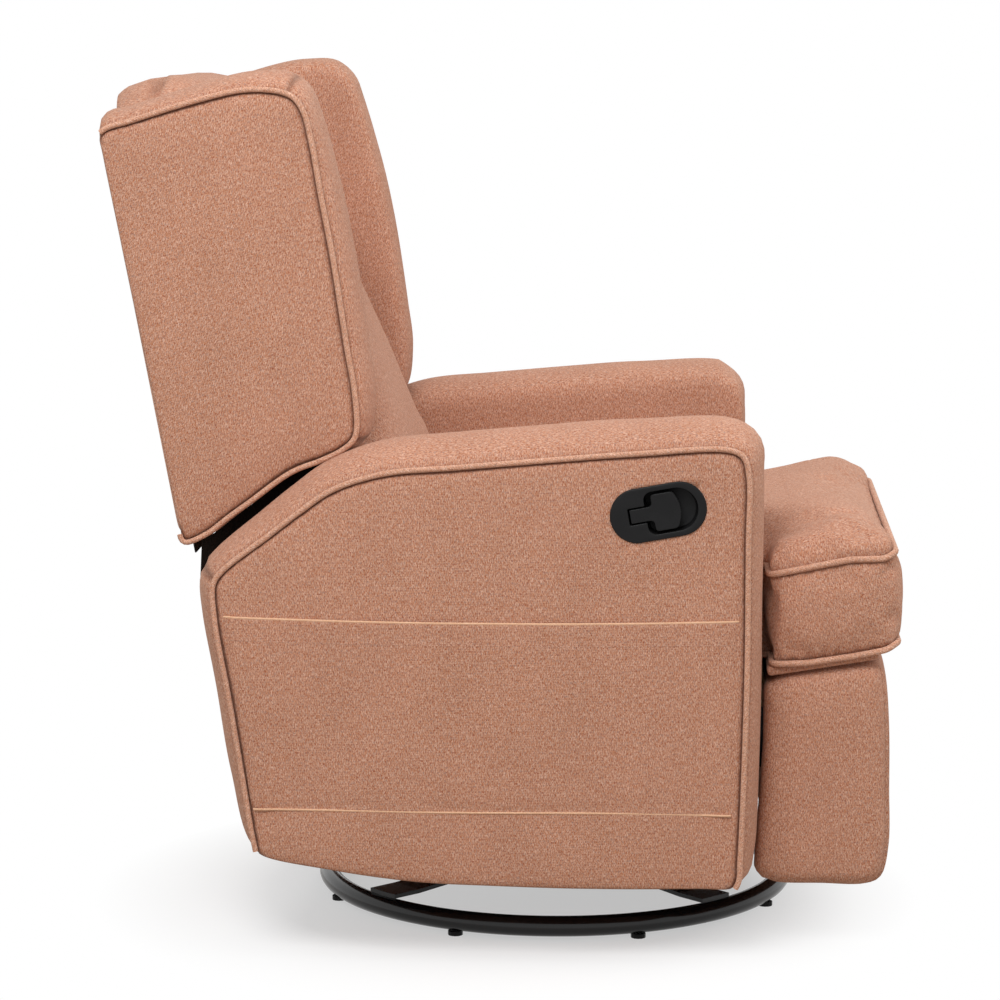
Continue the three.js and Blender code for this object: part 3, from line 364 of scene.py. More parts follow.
def spanOf(tree, value, low, high, to0=0.0, to1=1.0):
    return addNode(tree, "ShaderNodeMapRange", [
        ("Value", value), ("From Min", low), ("From Max", high), ("To Min", to0), ("To Max", to1),
    ]).outputs["Result"]


def mixOf(tree, factor, a, b, blend="MIX"):
    node = addNode(tree, "ShaderNodeMix", data_type="RGBA", blend_type=blend)
    for socket, source in (("Factor_Float", factor), ("A_Color", a), ("B_Color", b)):
        target = next(s for s in node.inputs if s.identifier == socket)
        if isinstance(source, bpy.types.NodeSocket):
            tree.links.new(source, target)
        else:
            target.default_value = source
    return next(s for s in node.outputs if s.identifier == "Result_Color")


def heatherGroup():
    # Heathered cloth: pale and rust slubs along the warp over a plain weave. The vector is in metres.
    group, given, out = newGroup("heatherCloth", [
        ("Vector", "NodeSocketVector", None),
        ("Pale", "NodeSocketColor", (0.66, 0.40, 0.29, 1)),
        ("Middle", "NodeSocketColor", (0.50, 0.25, 0.165, 1)),
        ("Rust", "NodeSocketColor", (0.36, 0.13, 0.07, 1)),
        ("Ash", "NodeSocketColor", (0.34, 0.21, 0.17, 1)),
        ("Thread Pitch", "NodeSocketFloat", 1.5),
        ("Slub Contrast", "NodeSocketFloat", 1.0),
    ], [("Color", "NodeSocketColor"), ("Height", "NodeSocketFloat"), ("Roughness", "NodeSocketFloat")])
    parts = addNode(group, "ShaderNodeSeparateXYZ", [(0, inMillimetres(group, given.outputs["Vector"]))])
    across, along = parts.outputs[0], parts.outputs[1]

    def stretched(width, length, shift, *look):
        # Noise drawn out along the warp, in millimetres across and along, told apart by its shift
        ways = (mathOf(group, "DIVIDE", across, width), mathOf(group, "DIVIDE", along, length), shift)
        place = addNode(group, "ShaderNodeCombineXYZ", enumerate(ways))
        return noiseOf(group, place.outputs[0], 1.0, *look)

    slub = stretched(1.0, 5.6, 3.0, 2.0, 0.6, 0.6)
    flake = stretched(0.92, 2.6, 17.0, 1.5, 0.5, 0.4)
    ash = stretched(1.0, 3.2, 29.0, 1.0, 0.5, 0.3)
    streak = stretched(2.1, 60.0, 53.0, 1.0, 0.5)
    cloud = stretched(70.0, 110.0, 41.0, 2.0, 0.5)
    color = given.outputs["Middle"]
    threads = (("Pale", slub, 0.42, 0.64), ("Rust", flake, 0.48, 0.68), ("Ash", ash, 0.52, 0.72))
    for thread, grain, low, high in threads:
        share = mathOf(group, "MULTIPLY", spanOf(group, grain, low, high), given.outputs["Slub Contrast"])
        color = mixOf(group, share, color, given.outputs[thread])
    mottle = (0.3, 0.7, 0.965, 1.035)
    cloudShade = mathOf(group, "MULTIPLY", spanOf(group, cloud, *mottle), spanOf(group, streak, *mottle))
    shade = addNode(group, "ShaderNodeCombineColor", [(k, cloudShade) for k in range(3)]).outputs[0]
    color = mixOf(group, 1.0, color, shade, "MULTIPLY")
    turn = mathOf(group, "DIVIDE", 2 * math.pi, given.outputs["Thread Pitch"])
    wobble = mathOf(group, "MULTIPLY", flake, 1.6)
    waves = [mathOf(group, "SINE", mathOf(group, "ADD", mathOf(group, "MULTIPLY", way, turn), wobble))
             for way in (across, along)]
    weave = mathOf(group, "MULTIPLY", mathOf(group, "ADD", *waves), 0.2)
    height = mathOf(group, "ADD", weave, mathOf(group, "MULTIPLY", slub, 1.3))
    group.links.new(color, out.inputs["Color"])
    group.links.new(height, out.inputs["Height"])
    group.links.new(spanOf(group, slub, 0.3, 0.7, 0.97, 0.84), out.inputs["Roughness"])
    return group


def wearGroup():
    # Fine mottling and broad haze on hard surfaces
    group, given, out = newGroup("surfaceHaze", [
        ("Vector", "NodeSocketVector", None),
        ("Grain Size", "NodeSocketFloat", 0.9),
        ("Haze Size", "NodeSocketFloat", 60.0),
        ("Low Roughness", "NodeSocketFloat", 0.3),
        ("High Roughness", "NodeSocketFloat", 0.45),
        ("Dark", "NodeSocketColor", (0.01, 0.01, 0.01, 1)),
        ("Bright", "NodeSocketColor", (0.02, 0.02, 0.02, 1)),
    ], [("Color", "NodeSocketColor"), ("Height", "NodeSocketFloat"), ("Roughness", "NodeSocketFloat")])
    place = inMillimetres(group, given.outputs["Vector"])
    grain = noiseOf(group, place, mathOf(group, "DIVIDE", 1.0, given.outputs["Grain Size"]), 2.0)
    haze = noiseOf(group, place, mathOf(group, "DIVIDE", 1.0, given.outputs["Haze Size"]), 3.0)
    both = mathOf(group, "ADD", mathOf(group, "MULTIPLY", grain, 0.4), mathOf(group, "MULTIPLY", haze, 0.6))
    middle = (0.35, 0.65)
    shade = spanOf(group, both, *middle)
    rough = spanOf(group, haze, *middle, given.outputs["Low Roughness"], given.outputs["High Roughness"])
    group.links.new(mixOf(group, shade, given.outputs["Dark"], given.outputs["Bright"]), out.inputs["Color"])
    group.links.new(grain, out.inputs["Height"])
    group.links.new(rough, out.inputs["Roughness"])
    return group


heatherCloth = heatherGroup()
surfaceHaze = wearGroup()


def bareTree(owner):
    owner.use_nodes = True
    owner.node_tree.nodes.clear()
    return owner.node_tree


def startMaterial(name):
    material = bpy.data.materials.new(name)
    tree = bareTree(material)
    shader = tree.nodes.new("ShaderNodeBsdfPrincipled")
    output = tree.nodes.new("ShaderNodeOutputMaterial")
    tree.links.new(shader.outputs[0], output.inputs[0])
    return material, tree, shader


def grouped(tree, group, place, settings):
    # A group node on the given coordinates; each of its other sockets takes the setting of its name
    node = addNode(tree, "ShaderNodeGroup", node_tree=group)
    for socket in node.inputs[1:]:
        socket.default_value = settings[socket.name]
    tree.links.new(place, node.inputs[0])
    return node


def joinShader(tree, shader, color, roughness, height, settings):
    bump = addNode(tree, "ShaderNodeBump", [
        ("Strength", settings["bumpStrength"]), ("Distance", settings["bumpDepth"]), ("Height", height)])
    tree.links.new(color, shader.inputs["Base Color"])
    tree.links.new(roughness, shader.inputs["Roughness"])
    tree.links.new(bump.outputs[0], shader.inputs["Normal"])
    for key, value in settings["sockets"].items():
        shader.inputs[key].default_value = value


def clothMaterial(name, settings):
    material, tree, shader = startMaterial(name)
    uv = addNode(tree, "ShaderNodeUVMap", uv_map="weaveMap").outputs[0]
    if settings["bias"]:
        turn = (0, 0, math.radians(settings["bias"]))
        uv = addNode(tree, "ShaderNodeMapping", [("Vector", uv), ("Rotation", turn)]).outputs[0]
    weave = grouped(tree, heatherCloth, uv, settings).outputs
    # Painted shade in the seam grooves: the seamShade mark mixes the cloth colour towards a dark crease colour
    crease = addNode(tree, "ShaderNodeAttribute", attribute_name="seamShade").outputs["Fac"]
    creaseShadeShare = mathOf(tree, "MULTIPLY", crease, settings["creaseShadeStrength"])
    color = mixOf(tree, creaseShadeShare, weave["Color"], settings["creaseShadeColour"])
    joinShader(tree, shader, color, weave["Roughness"], weave["Height"], settings)
    return material


def hardMaterial(name, settings):
    material, tree, shader = startMaterial(name)
    place = addNode(tree, "ShaderNodeTexCoord").outputs["Object"]
    haze = grouped(tree, surfaceHaze, place, settings).outputs
    joinShader(tree, shader, haze["Color"], haze["Roughness"], haze["Height"], settings)
    return material


sheen = {
    "Sheen Weight": 0.2, "Sheen Roughness": 0.45, "Sheen Tint": (1.0, 0.80, 0.66, 1), "Specular IOR Level": 0.12,
}
# The last two settings paint shade into the seam grooves
clothSettings = {
    "Pale": (0.70, 0.44, 0.33, 1), "Middle": (0.50, 0.228, 0.130, 1), "Rust": (0.31, 0.088, 0.040, 1),
    "Ash": (0.35, 0.215, 0.175, 1), "Thread Pitch": 2.0, "Slub Contrast": 1.0,
    "bumpStrength": 0.5, "bumpDepth": 0.0006, "sockets": sheen,
    "bias": 0, "creaseShadeStrength": 0.75, "creaseShadeColour": (0.10, 0.035, 0.02, 1),
}
cloth = clothMaterial("heatheredUpholstery", clothSettings)
# The piping is the same cloth cut on the bias, painted lighter as a highlight on its raised cord
pipingClothPaintedLighter = clothMaterial("biasPipingPaintedLighter", clothSettings | {
    "Pale": (0.78, 0.52, 0.40, 1), "Middle": (0.60, 0.31, 0.195, 1), "Rust": (0.42, 0.15, 0.075, 1),
    "bias": 45})
# The pocket's hem edge and foot seam are the same cloth, painted lighter as an edge highlight
hemClothPaintedHighlight = clothMaterial("foldedHemPaintedHighlight", clothSettings | {
    "Pale": (0.84, 0.60, 0.44, 1), "Middle": (0.74, 0.44, 0.27, 1), "Rust": (0.60, 0.30, 0.17, 1),
    "Ash": (0.66, 0.40, 0.27, 1), "Slub Contrast": 0.5})
# Near-black cloth for the sheets in the gap beside the back and the flap under the rear cover
nearBlackCloth = clothMaterial("nearBlackSheetCloth", clothSettings | {
    "Pale": (0.03, 0.022, 0.02, 1), "Middle": (0.02, 0.015, 0.013, 1), "Rust": (0.012, 0.009, 0.008, 1),
    "Ash": (0.016, 0.013, 0.012, 1), "sockets": sheen | {"Sheen Weight": 0.05}})
threadCloth = clothMaterial("seamThread", clothSettings | {
    "Pale": (0.74, 0.50, 0.40, 1), "Middle": (0.62, 0.38, 0.28, 1), "bias": 30})

glossBlack = hardMaterial("glossBlackPaint", {
    "Grain Size": 1.4, "Haze Size": 90.0, "Low Roughness": 0.13, "High Roughness": 0.22,
    "Dark": (0.004, 0.004, 0.0045, 1), "Bright": (0.007, 0.007, 0.008, 1),
    "bumpStrength": 0.06, "bumpDepth": 0.0002,
    "sockets": {"Specular IOR Level": 0.35, "Coat Weight": 0.12, "Coat Roughness": 0.08}})
satinSteel = hardMaterial("darkMechanismSteel", {
    "Grain Size": 1.1, "Haze Size": 35.0, "Low Roughness": 0.34, "High Roughness": 0.55,
    "Dark": (0.030, 0.030, 0.032, 1), "Bright": (0.060, 0.060, 0.064, 1),
    "bumpStrength": 0.12, "bumpDepth": 0.0002,
    "sockets": {"Metallic": 0.7}})
zincPlate = hardMaterial("zincPlatedSteel", {
    "Grain Size": 2.2, "Haze Size": 18.0, "Low Roughness": 0.26, "High Roughness": 0.46,
    "Dark": (0.34, 0.34, 0.35, 1), "Bright": (0.52, 0.52, 0.52, 1),
    "bumpStrength": 0.1, "bumpDepth": 0.0002,
    "sockets": {"Metallic": 1.0}})
satinPlastic = hardMaterial("satinBlackPlastic", {
    "Grain Size": 0.7, "Haze Size": 40.0, "Low Roughness": 0.36, "High Roughness": 0.46,
    "Dark": (0.007, 0.007, 0.0075, 1), "Bright": (0.011, 0.011, 0.0115, 1),
    "bumpStrength": 0.25, "bumpDepth": 0.00015,
    "sockets": {"Specular IOR Level": 0.16}})

timber = {
    "Bright": (0.50, 0.34, 0.19, 1), "Dark": (0.33, 0.20, 0.10, 1), "roughness": (0.62, 0.8),
    "bumpStrength": 0.3, "bumpDepth": 0.0005, "sockets": {},
}


def timberMaterial():
    material, tree, shader = startMaterial("rawPlywood")
    place = addNode(tree, "ShaderNodeTexCoord").outputs["Object"]
    grainPlace = addNode(tree, "ShaderNodeMapping", [("Vector", place), ("Scale", (40, 6, 240))]).outputs[0]
    grain = noiseOf(tree, grainPlace, 1.0, 4.0, 0.6, 0.6)
    color = mixOf(tree, spanOf(tree, grain, 0.35, 0.7), timber["Bright"], timber["Dark"])
    joinShader(tree, shader, color, spanOf(tree, grain, 0.3, 0.7, *timber["roughness"]), grain, timber)
    return material


plywood = timberMaterial()
print("materials built")

nodeFinish = {
    "base_ring": glossBlack, "base_cross": glossBlack, "swivel_deck_frame": glossBlack,
    "torque_tube": glossBlack, "cross_tube_front": glossBlack, "cross_tube_rear": glossBlack,
    "lower_race": zincPlate, "upper_race": zincPlate, "latch_pawl": zincPlate,
    "seat_frame": plywood, "arm_frame_left": plywood, "arm_frame_right": plywood, "back_frame": plywood,
    "footrest_board": plywood,
    "release_cable": satinPlastic, "handle_bezel": satinPlastic, "release_lever": satinPlastic,
}
finishByPrefix = {"floor_glide": satinPlastic, "glide_link": zincPlate, "seat_spring": zincPlate}
for nodeName, node in cadNodes.items():
    finish = nodeFinish.get(nodeName)
    if finish is None:
        finish = next((f for prefix, f in finishByPrefix.items() if nodeName.startswith(prefix)), satinSteel)
    dress(node, finish)


# Frames of the leaning pieces: u across or along, v across or up, w outwards, all in millimetres
def leaningFrame(origin, u, v, w):
    axes = np.array([u, v, w], float)
    start = np.array([origin[0], 0, origin[1]], float)

    def place(points):
        return toRow(np.array(points, float) @ axes + start)

    return place


def risingAxes(degrees):
    # Unit vectors ahead and up, both turned by an angle in the plane of the side
    angle = math.radians(degrees)
    return (math.cos(angle), 0, math.sin(angle)), (-math.sin(angle), 0, math.cos(angle))


def atDepth(place, points, depth):
    return place(np.column_stack([points[:, :2], np.broadcast_to(depth, len(points))]))


def stacked(name, place, rows, centre, ends):
    # A closed form from rows of (points, depth), with a pole at each end
    rings = [atDepth(place, points, depth) for points, depth in rows]
    poles = [atDepth(place, np.array([centre], float), depth)[0] for depth in ends]
    return ringsObject(name, rings, *poles)


fromSide = leaningFrame((0, 0), (1, 0, 0), (0, 0, 1), (0, 1, 0))


# Pull lever and the moulded plate around it, drawn in the plate's own plane
plate = {
    "place": (132.0, 537.0), "tilt": 10.5, "length": 112.0, "height": 63.0, "faceY": 396.6, "edgeRound": 1.5,
    "cupRadius": 25.0, "cupFront": 46.0, "cupRear": 14.5, "cupCorner": 10.0, "cupDepth": 19.0, "wall": 2.0,
    "slotRear": 34.5, "slotHalf": 9.75, "slotCorner": 1.2, "lip": 0.9, "crown": 0.5, "middle": (14.0, 0.0),
    "opening": (370.0, 420.0), "rimDepth": 5.2, "cupDraft": 0.8, "cupRound": 3.0,
}
ahead, above = risingAxes(plate["tilt"])
platePlace = leaningFrame(plate["place"], ahead, above, (0, -1, 0))


def arcPoints(centre, radius, fromAngle, toAngle, steps):
    return [(centre[0] + radius * math.cos(a), centre[1] + radius * math.sin(a))
            for a in np.radians(np.linspace(fromAngle, toAngle, steps))]


def stadiumOutline(length, height):
    half, radius = (length - height) / 2, height / 2
    return np.array(arcPoints((half, 0), radius, -90, 90, 40) + arcPoints((-half, 0), radius, 90, 270, 40))


def plateOpening():
    # The hole in the arm that takes the body of the plate
    gap = 2 * (plate["cupRadius"] + plate["wall"]) + 1
    outline = stadiumOutline(plate["length"] - plate["height"] + gap, gap)
    rows = [(outline, y) for y in plate["opening"]]
    return stacked("plateOpening", platePlace, rows, (0, 0), plate["opening"])


# Upholstered side forms: an outer panel sewn to a stuffed band, drawn from the side
armPad = {
    "name": "armCover", "piping": "armPiping", "node": "arm_cover", "body": "seat_carriage", "tilt": 0.0,
    "ripple": (0.0013, 0.11, 3, (1, 1, 0.8)), "puckerPitch": 0.021, "mitres": [(-382, 450)],
    "inner": 260.0, "thickness": 130.0, "crown": 33.0, "panelPad": 4.5, "panelReach": 60.0, "edgeRound": 7.0,
    "bandPower": 0.62, "innerPower": 2.0, "centre": (-42.0, 345.0), "pipingRadius": 3.3, "spacing": 5.5,
    "outline": [  # x, z, fullness of the band
        (-333, 127, 0), (-243, 108, 0), (-142, 95, 0), (-60, 91, 0), (181, 91, 0), (222, 93, 0.03),
        (228, 104, 0.4), (229, 125, 0.55), (231, 175, 0.62), (235, 350, 0.55), (235, 502, 0.58),
        (235, 578, 0.6), (229, 600, 0.8), (214, 608, 0.88), (104, 603, 1), (16, 596, 1), (-98, 586, 1),
        (-184, 578, 0.95), (-243, 559, 0.85), (-280, 534, 0.8), (-319, 504, 0.75), (-372, 463, 0.68),
        (-382, 448, 0.7), (-381, 408, 0.7), (-364, 307, 0.7), (-350, 218, 0.66), (-337, 138, 0.4)],
    "frontX": 205.0, "farFront": 0.42, "farFull": 1.0,  # the far arm's front is flatter
}
wingPad = {
    "name": "wing", "piping": "wingPiping", "node": "wing", "body": "backrest", "tilt": -10.5,
    "ripple": (0.0012, 0.10, 7, (1, 1, 0.7)), "puckerPitch": 0.019, "mitres": [(-302, 1011), (-226, 608)],
    "inner": 214.5, "thickness": 101.5, "crown": 21.0, "panelPad": 4.5, "panelReach": 55.0, "edgeRound": 7.0,
    "bandPower": 0.5, "innerPower": 3.0, "centre": (-362.0, 750.0), "pipingRadius": 3.3, "spacing": 5.0,
    "outline": [
        (-427, 486, 0.2), (-400, 496, 0.3), (-375, 515, 0.33), (-349, 534, 0.33), (-299, 570, 0.33),
        (-262, 585, 0.33), (-237, 598, 0.4), (-224, 612, 0.6), (-224, 660, 0.9), (-233, 716, 1), (-249, 822, 1),
        (-262, 892, 0.95), (-273, 956, 0.7), (-281, 988, 0.62), (-292, 1005, 0.85), (-307, 1012, 1.1),
        (-337, 1015, 1), (-360, 1013, 0.95), (-413, 1000, 0.9), (-484, 978, 0.85), (-513, 969, 0.8),
        (-520, 961, 0.03), (-517, 940, 0.0), (-482, 760, 0), (-455, 620, 0), (-432, 500, 0)],
    "frontX": 205.0, "farFront": 1.0, "farFull": 1.22,  # the far wing's band is fuller
}
seamSink = 3.5  # how far a seam lies under the panel beside it
mostFull = 1.35
leastWelted = 0.04  # the fullness from which an edge has its welt
seamShadeReach = 0.0024
panelShares = [0.08, 0.18, 0.28, 0.38, 0.48, 0.57, 0.66, 0.74, 0.82, 0.89, 0.95]
seamDip, seamDipReach, seamRound = 5.0, 5.2, 3.0  # the crease beside the piping
nearEdge = [22.0, 16.0, 12.0, 9.0, 7.0, 5.5, 4.0, 2.4]  # rows of the panel close to its seam
innerEdge = [18.0, 12.0]  # and of the face on its frame


def weltedShare(points, loop):
    # 1 beside the welted part of the edge, 0 beside a plain fold
    near = np.linalg.norm(points[:, None, :2] - loop[None, :, :2], axis=2)
    weight = np.exp(-((near - near.min(1, keepdims=True)) / 6.0) ** 2)
    return (weight * np.clip(loop[None, :, 2] / 0.08, 0, 1)).sum(1) / weight.sum(1)


def panelHeight(points, loop, pad):
    far = edgeDistance(points, loop)
    dip = seamDip * np.exp(-((far / seamDipReach) ** 2)) * (0.3 + 0.7 * weltedShare(points, loop))
    return pad["thickness"] + pad["panelPad"] * rise(far, pad["panelReach"]) - dip


def sideToRow(points, width, sign, pad):
    return atDepth(fromSide, points, sign * (pad["inner"] + width))


def bandSwell(share, pad):
    if share < 0.5:
        return (1 - (1 - 2 * share) ** pad["innerPower"]) ** (1 / pad["innerPower"])
    return math.sin(math.pi * share) ** pad["bandPower"]


def mitreSeam(obj, loop, pad, sign, at):
    # A short seam across the band, from the welt at a corner; its path also takes painted shade
    index = int(np.linalg.norm(loop[:, :2] - np.array(at), axis=1).argmin())
    bandEnd = pad["thickness"] - seamSink
    path = []
    for share in np.linspace(0.97, 0.42, 30):
        raised = offsetLoop(loop, pad["crown"] * np.clip(loop[:, 2], 0, mostFull) * bandSwell(share, pad))
        path.append(sideToRow(raised[index:index + 1], share * bandEnd, sign, pad)[0])
    pressSeam(obj, np.array(path), 0.0038, 0.0026)
    return resample(np.array(path), 0.002, False)


def cornerInset(run, radius):
    # How far a rounded corner falls back at a distance along its side
    return radius - math.sqrt(radius ** 2 - (radius - min(run, radius)) ** 2)


def sidePad(name, pad, sign):
    loop = curveThrough(pad["outline"], pad["spacing"])
    full = np.clip(loop[:, 2], 0, mostFull)
    if sign > 0:
        front = np.clip((loop[:, 0] - pad["frontX"]) / 30.0, 0, 1)
        full = full * (1 - front * (1 - pad["farFront"])) * pad["farFull"]
    centre = np.array(pad["centre"])
    thick, roundness = pad["thickness"], pad["edgeRound"]
    deep = drawnIn(loop, centre, nearEdge[0])
    inside = [towards(centre, deep, share) for share in panelShares]
    rows = [(points, 0.0) for points in inside + [drawnIn(loop, centre, inset) for inset in innerEdge]]
    bandEnd = thick - seamSink
    marks = np.concatenate([
        [0.0, 0.5, 1.4, 3.0, 5.2], np.linspace(8.0, thick / 2, 10), np.linspace(thick / 2, bandEnd - 8, 12)[1:],
        [bandEnd - 5.0, bandEnd - 2.6, bandEnd - 0.9]])
    for mark in marks:
        swell = bandSwell(mark / bandEnd, pad)
        corner = cornerInset(mark, roundness) + 0.6 * cornerInset(bandEnd - mark, seamRound)
        corner += seamDip * 0.6 * math.exp(-(((bandEnd - mark) / seamRound) ** 2))
        rows.append((offsetLoop(loop, pad["crown"] * full * swell - corner), mark))
    rows.append((offsetLoop(loop, -0.8), bandEnd))
    for points in [drawnIn(loop, centre, inset) for inset in reversed(nearEdge)] + inside[::-1]:
        rows.append((points, panelHeight(points, loop, pad)))
    rings = [sideToRow(points, width, sign, pad) for points, width in rows]
    middle = centre[None, :]
    poles = [sideToRow(middle, width, sign, pad)[0] for width in (0.0, panelHeight(middle, loop, pad))]
    return ringsObject(name, rings, *poles), loop


def creasePaths(loop, pad, sign):
    # The two lines where the cloth dips in beside the welt, on the panel and on the band; shade is painted along
    # them
    edges = []
    for inset, width in ((2.6, pad["thickness"] - 2.5), (1.0, pad["thickness"] - seamSink - 1.2)):
        path = sideToRow(offsetLoop(loop, -inset), width, sign, pad)
        edges.append(resample(np.vstack([path, path[:1]]), 0.002, False))
    tree = treeOf(sideToRow(loop[loop[:, 2] > leastWelted], pad["thickness"], sign, pad))
    return [np.array([p for p in edge if tree.find(Vector(p))[2] < 0.010]) for edge in edges]


def pipingPath(loop, pad, sign):
    # The welt on the outer seam, open where the band is flat
    path = sideToRow(offsetLoop(loop, 0.6), pad["thickness"] + 1.3, sign, pad)
    keep = loop[:, 2] > leastWelted
    first = next(i for i in range(len(keep)) if keep[i] and not keep[i - 1])
    order = [(first + k) % len(keep) for k in range(len(keep))]
    return path[[i for i in order if keep[i]]]


def cutOut(obj, cutter):
    step = obj.modifiers.new("Opening", "BOOLEAN")
    step.operation = "DIFFERENCE"
    step.solver = "EXACT"
    step.object = cutter
    applied(obj)
    bpy.data.objects.remove(cutter)
    return obj


def piped(name, path, radius, body, closed=False):
    cord = dress(tube(name, path, radius * mm, closed), pipingClothPaintedLighter)
    return declared(cord, body)


def finished(obj, body, node, tilt, material=None, angle=None):
    smoothShade(obj, angle)
    weaveMap(obj, tilt)
    dress(obj, material or cloth)
    return declared(obj, body, node)


creaseOf = {}
for pad in (armPad, wingPad):
    height, size, seed, squeeze = pad["ripple"]
    for side, sign in sides.items():
        name = pad["name"] + side
        form, padLoop = sidePad(name, pad, sign)
        softRipple(form, height, size, seed + sign, squeeze)
        if name == "armCoverRight":
            cutOut(form, plateOpening())
        welt = pipingPath(padLoop, pad, sign)
        pressSeam(form, welt, 0.006, 0.0006, 0.0005, pad["puckerPitch"])
        mitres = [mitreSeam(form, padLoop, pad, sign, at) for at in pad["mitres"]]
        creaseOf[name] = creasePaths(padLoop, pad, sign)
        # Painted shade along the creases beside the welt and along the mitres
        shadeSeams(form, creaseOf[name] + mitres, seamShadeReach)
        finished(form, pad["body"], f"{pad['node']}_{side.lower()}", pad["tilt"])
        piped(pad["piping"] + side, resample(welt, 0.004, False), pad["pipingRadius"], pad["body"])
    print(pad["name"], "pieces built")


seat = {
    "bend": (262.0, 343.0), "pitch": 9.5, "bandLean": 2.5, "thickness": 111.0, "seamHeights": (109.5, 2.0),
    "front": 153.5, "rear": -396.0, "halfWidth": 253.0, "earHalfWidth": 318.0, "earFrom": 5.0, "corner": 26.0,
    "earRear": 8.0, "earFront": 12.0, "spacing": 6.0, "voxel": 0.0065,
    "crown": 50.0, "crownReach": 120.0, "crownPower": 1.1, "earSlope": 2.6, "bulge": 3.0, "bandPower": 0.6,
    "pressure": 4.0, "cap": 0.007, "frames": 20, "ripple": (0.0018, 0.10, 11),
    "press": (0.009, 0.0022, 0.0012, 0.019), "seamReach": 0.0038, "pipingRadius": 3.8,
    "swayFrom": 298.0, "swaySpan": 18.0,
    "topSway": ([5, 50, 100, 140, 152], [-1.5, 0, 2, -3.5, -1]),
    "bottomSway": ([5, 45, 100, 140, 152], [0, -5, -5.5, -4, 0]),
}
seatAhead, seatAbove = risingAxes(seat["pitch"])
seatPlace = leaningFrame(seat["bend"], seatAhead, (0, 1, 0), risingAxes(seat["bandLean"])[1])


def roundedOutline(corners, steps=6):
    # Corners as (u, v, radius) with a short curve in each
    made = []
    for i, (u, v, radius) in enumerate(corners):
        here = np.array([u, v], float)
        before = np.array(corners[i - 1][:2], float) - here
        after = np.array(corners[(i + 1) % len(corners)][:2], float) - here
        a = here + before / np.linalg.norm(before) * radius
        b = here + after / np.linalg.norm(after) * radius
        for k in range(steps + 1):
            t = k / steps
            made.append((1 - t) ** 2 * a + 2 * t * (1 - t) * here + t ** 2 * b)
    return np.array(made)


def seatOutline():
    ear, wide, narrow, front, rear, corner, inside, outside = (seat[k] for k in (
        "earFrom", "earHalfWidth", "halfWidth", "front", "rear", "corner", "earRear", "earFront"))
    return resample(roundedOutline([
        (rear, -narrow, corner), (ear, -narrow, inside), (ear, -wide, outside), (front, -wide, corner),
        (front, wide, corner), (ear, wide, outside), (ear, narrow, inside), (rear, narrow, corner),
    ]), seat["spacing"], True)


def seatSway(points):
    # How far the two seams of each ear wander up or down along the side
    side = np.clip((np.abs(points[:, 1]) - seat["swayFrom"]) / seat["swaySpan"], 0, 1)
    top = np.interp(points[:, 0], *seat["topSway"])
    bottom = np.interp(points[:, 0], *seat["bottomSway"])
    share = np.clip(points[:, 2] / seat["thickness"], 0, 1)
    return side * (bottom + (top - bottom) * share)


def seatCushionForm(name):
    # A prism over the outline, remeshed, crowned on top and swollen at its band
    loop = seatOutline()
    thick = seat["thickness"]
    count = len(loop)
    vertices = [(*p, 0.0) for p in loop] + [(*p, thick) for p in loop]
    faces = [tuple(reversed(range(count))), tuple(range(count, 2 * count))]
    faces += [(k, (k + 1) % count, (k + 1) % count + count, k + count) for k in range(count)]
    cushion = meshObject(name, np.array(vertices) * mm, faces)
    step = cushion.modifiers.new("Remesh", "REMESH")
    step.mode = "VOXEL"
    step.voxel_size = seat["voxel"]
    applied(cushion)
    co = vertexArrays(cushion)[0] / mm
    gaps = np.linalg.norm(co[:, None, :2] - loop[None, :, :], axis=2)
    nearest = gaps.argmin(1)
    far = gaps.min(1)
    earRear = (loop[:, 0] < seat["earFrom"] + 6) & (np.abs(loop[:, 1]) > seat["halfWidth"] + 3)
    slope = (gaps * np.where(earRear, seat["earSlope"], 1.0)[None, :]).min(1)
    share = np.clip(co[:, 2] / thick, 0, 1)
    band = np.where(far < 4.0, np.sin(np.pi * share) ** seat["bandPower"], 0)
    ear = np.clip((co[:, 0] - 20) / 20, 0.2, 1)
    co[:, :2] += outward(loop)[nearest] * (seat["bulge"] * band * ear)[:, None]
    crown = seat["crown"] * rise(slope, seat["crownReach"]) ** seat["crownPower"]
    co[:, 2] += np.where(co[:, 2] > thick - 1.0, crown, 0)
    setVertices(cushion, co * mm)
    return cushion, loop


def inflated(obj, pressure, cap, frames, seams, hold=0.005):
    # A short cloth inflation: seams stay where they are and each other point's travel is capped
    start = vertexArrays(obj)[0].copy()
    near = treeOf(seams)
    held = obj.vertex_groups.new(name="seamHold")
    for index, place in enumerate(start):
        gap = near.find(place)[2]
        if gap < 2 * hold:
            held.add([index], min(1.0, max(0.0, 2 - gap / hold)), "REPLACE")
    swell = obj.modifiers.new("Cloth", "CLOTH")
    swell.settings.quality = 5
    swell.settings.mass = 0.3
    swell.settings.use_pressure = True
    swell.settings.uniform_pressure_force = pressure
    swell.settings.effector_weights.gravity = 0
    swell.settings.vertex_group_mass = "seamHold"
    swell.settings.shrink_min = -0.03
    swell.collision_settings.use_collision = False
    swell.point_cache.frame_start = 1
    swell.point_cache.frame_end = frames
    for frameNumber in range(1, frames + 1):
        bpy.context.scene.frame_set(frameNumber)
    graph = bpy.context.evaluated_depsgraph_get()
    moved = np.zeros(len(start) * 3)
    obj.evaluated_get(graph).data.vertices.foreach_get("co", moved)
    obj.modifiers.clear()
    obj.vertex_groups.clear()
    travel = moved.reshape(-1, 3) - start
    length = np.linalg.norm(travel, axis=1)
    travel *= np.minimum(1, cap / np.maximum(length, 1e-9))[:, None]
    setVertices(obj, start + travel)
    bpy.context.scene.frame_set(1)
    return obj


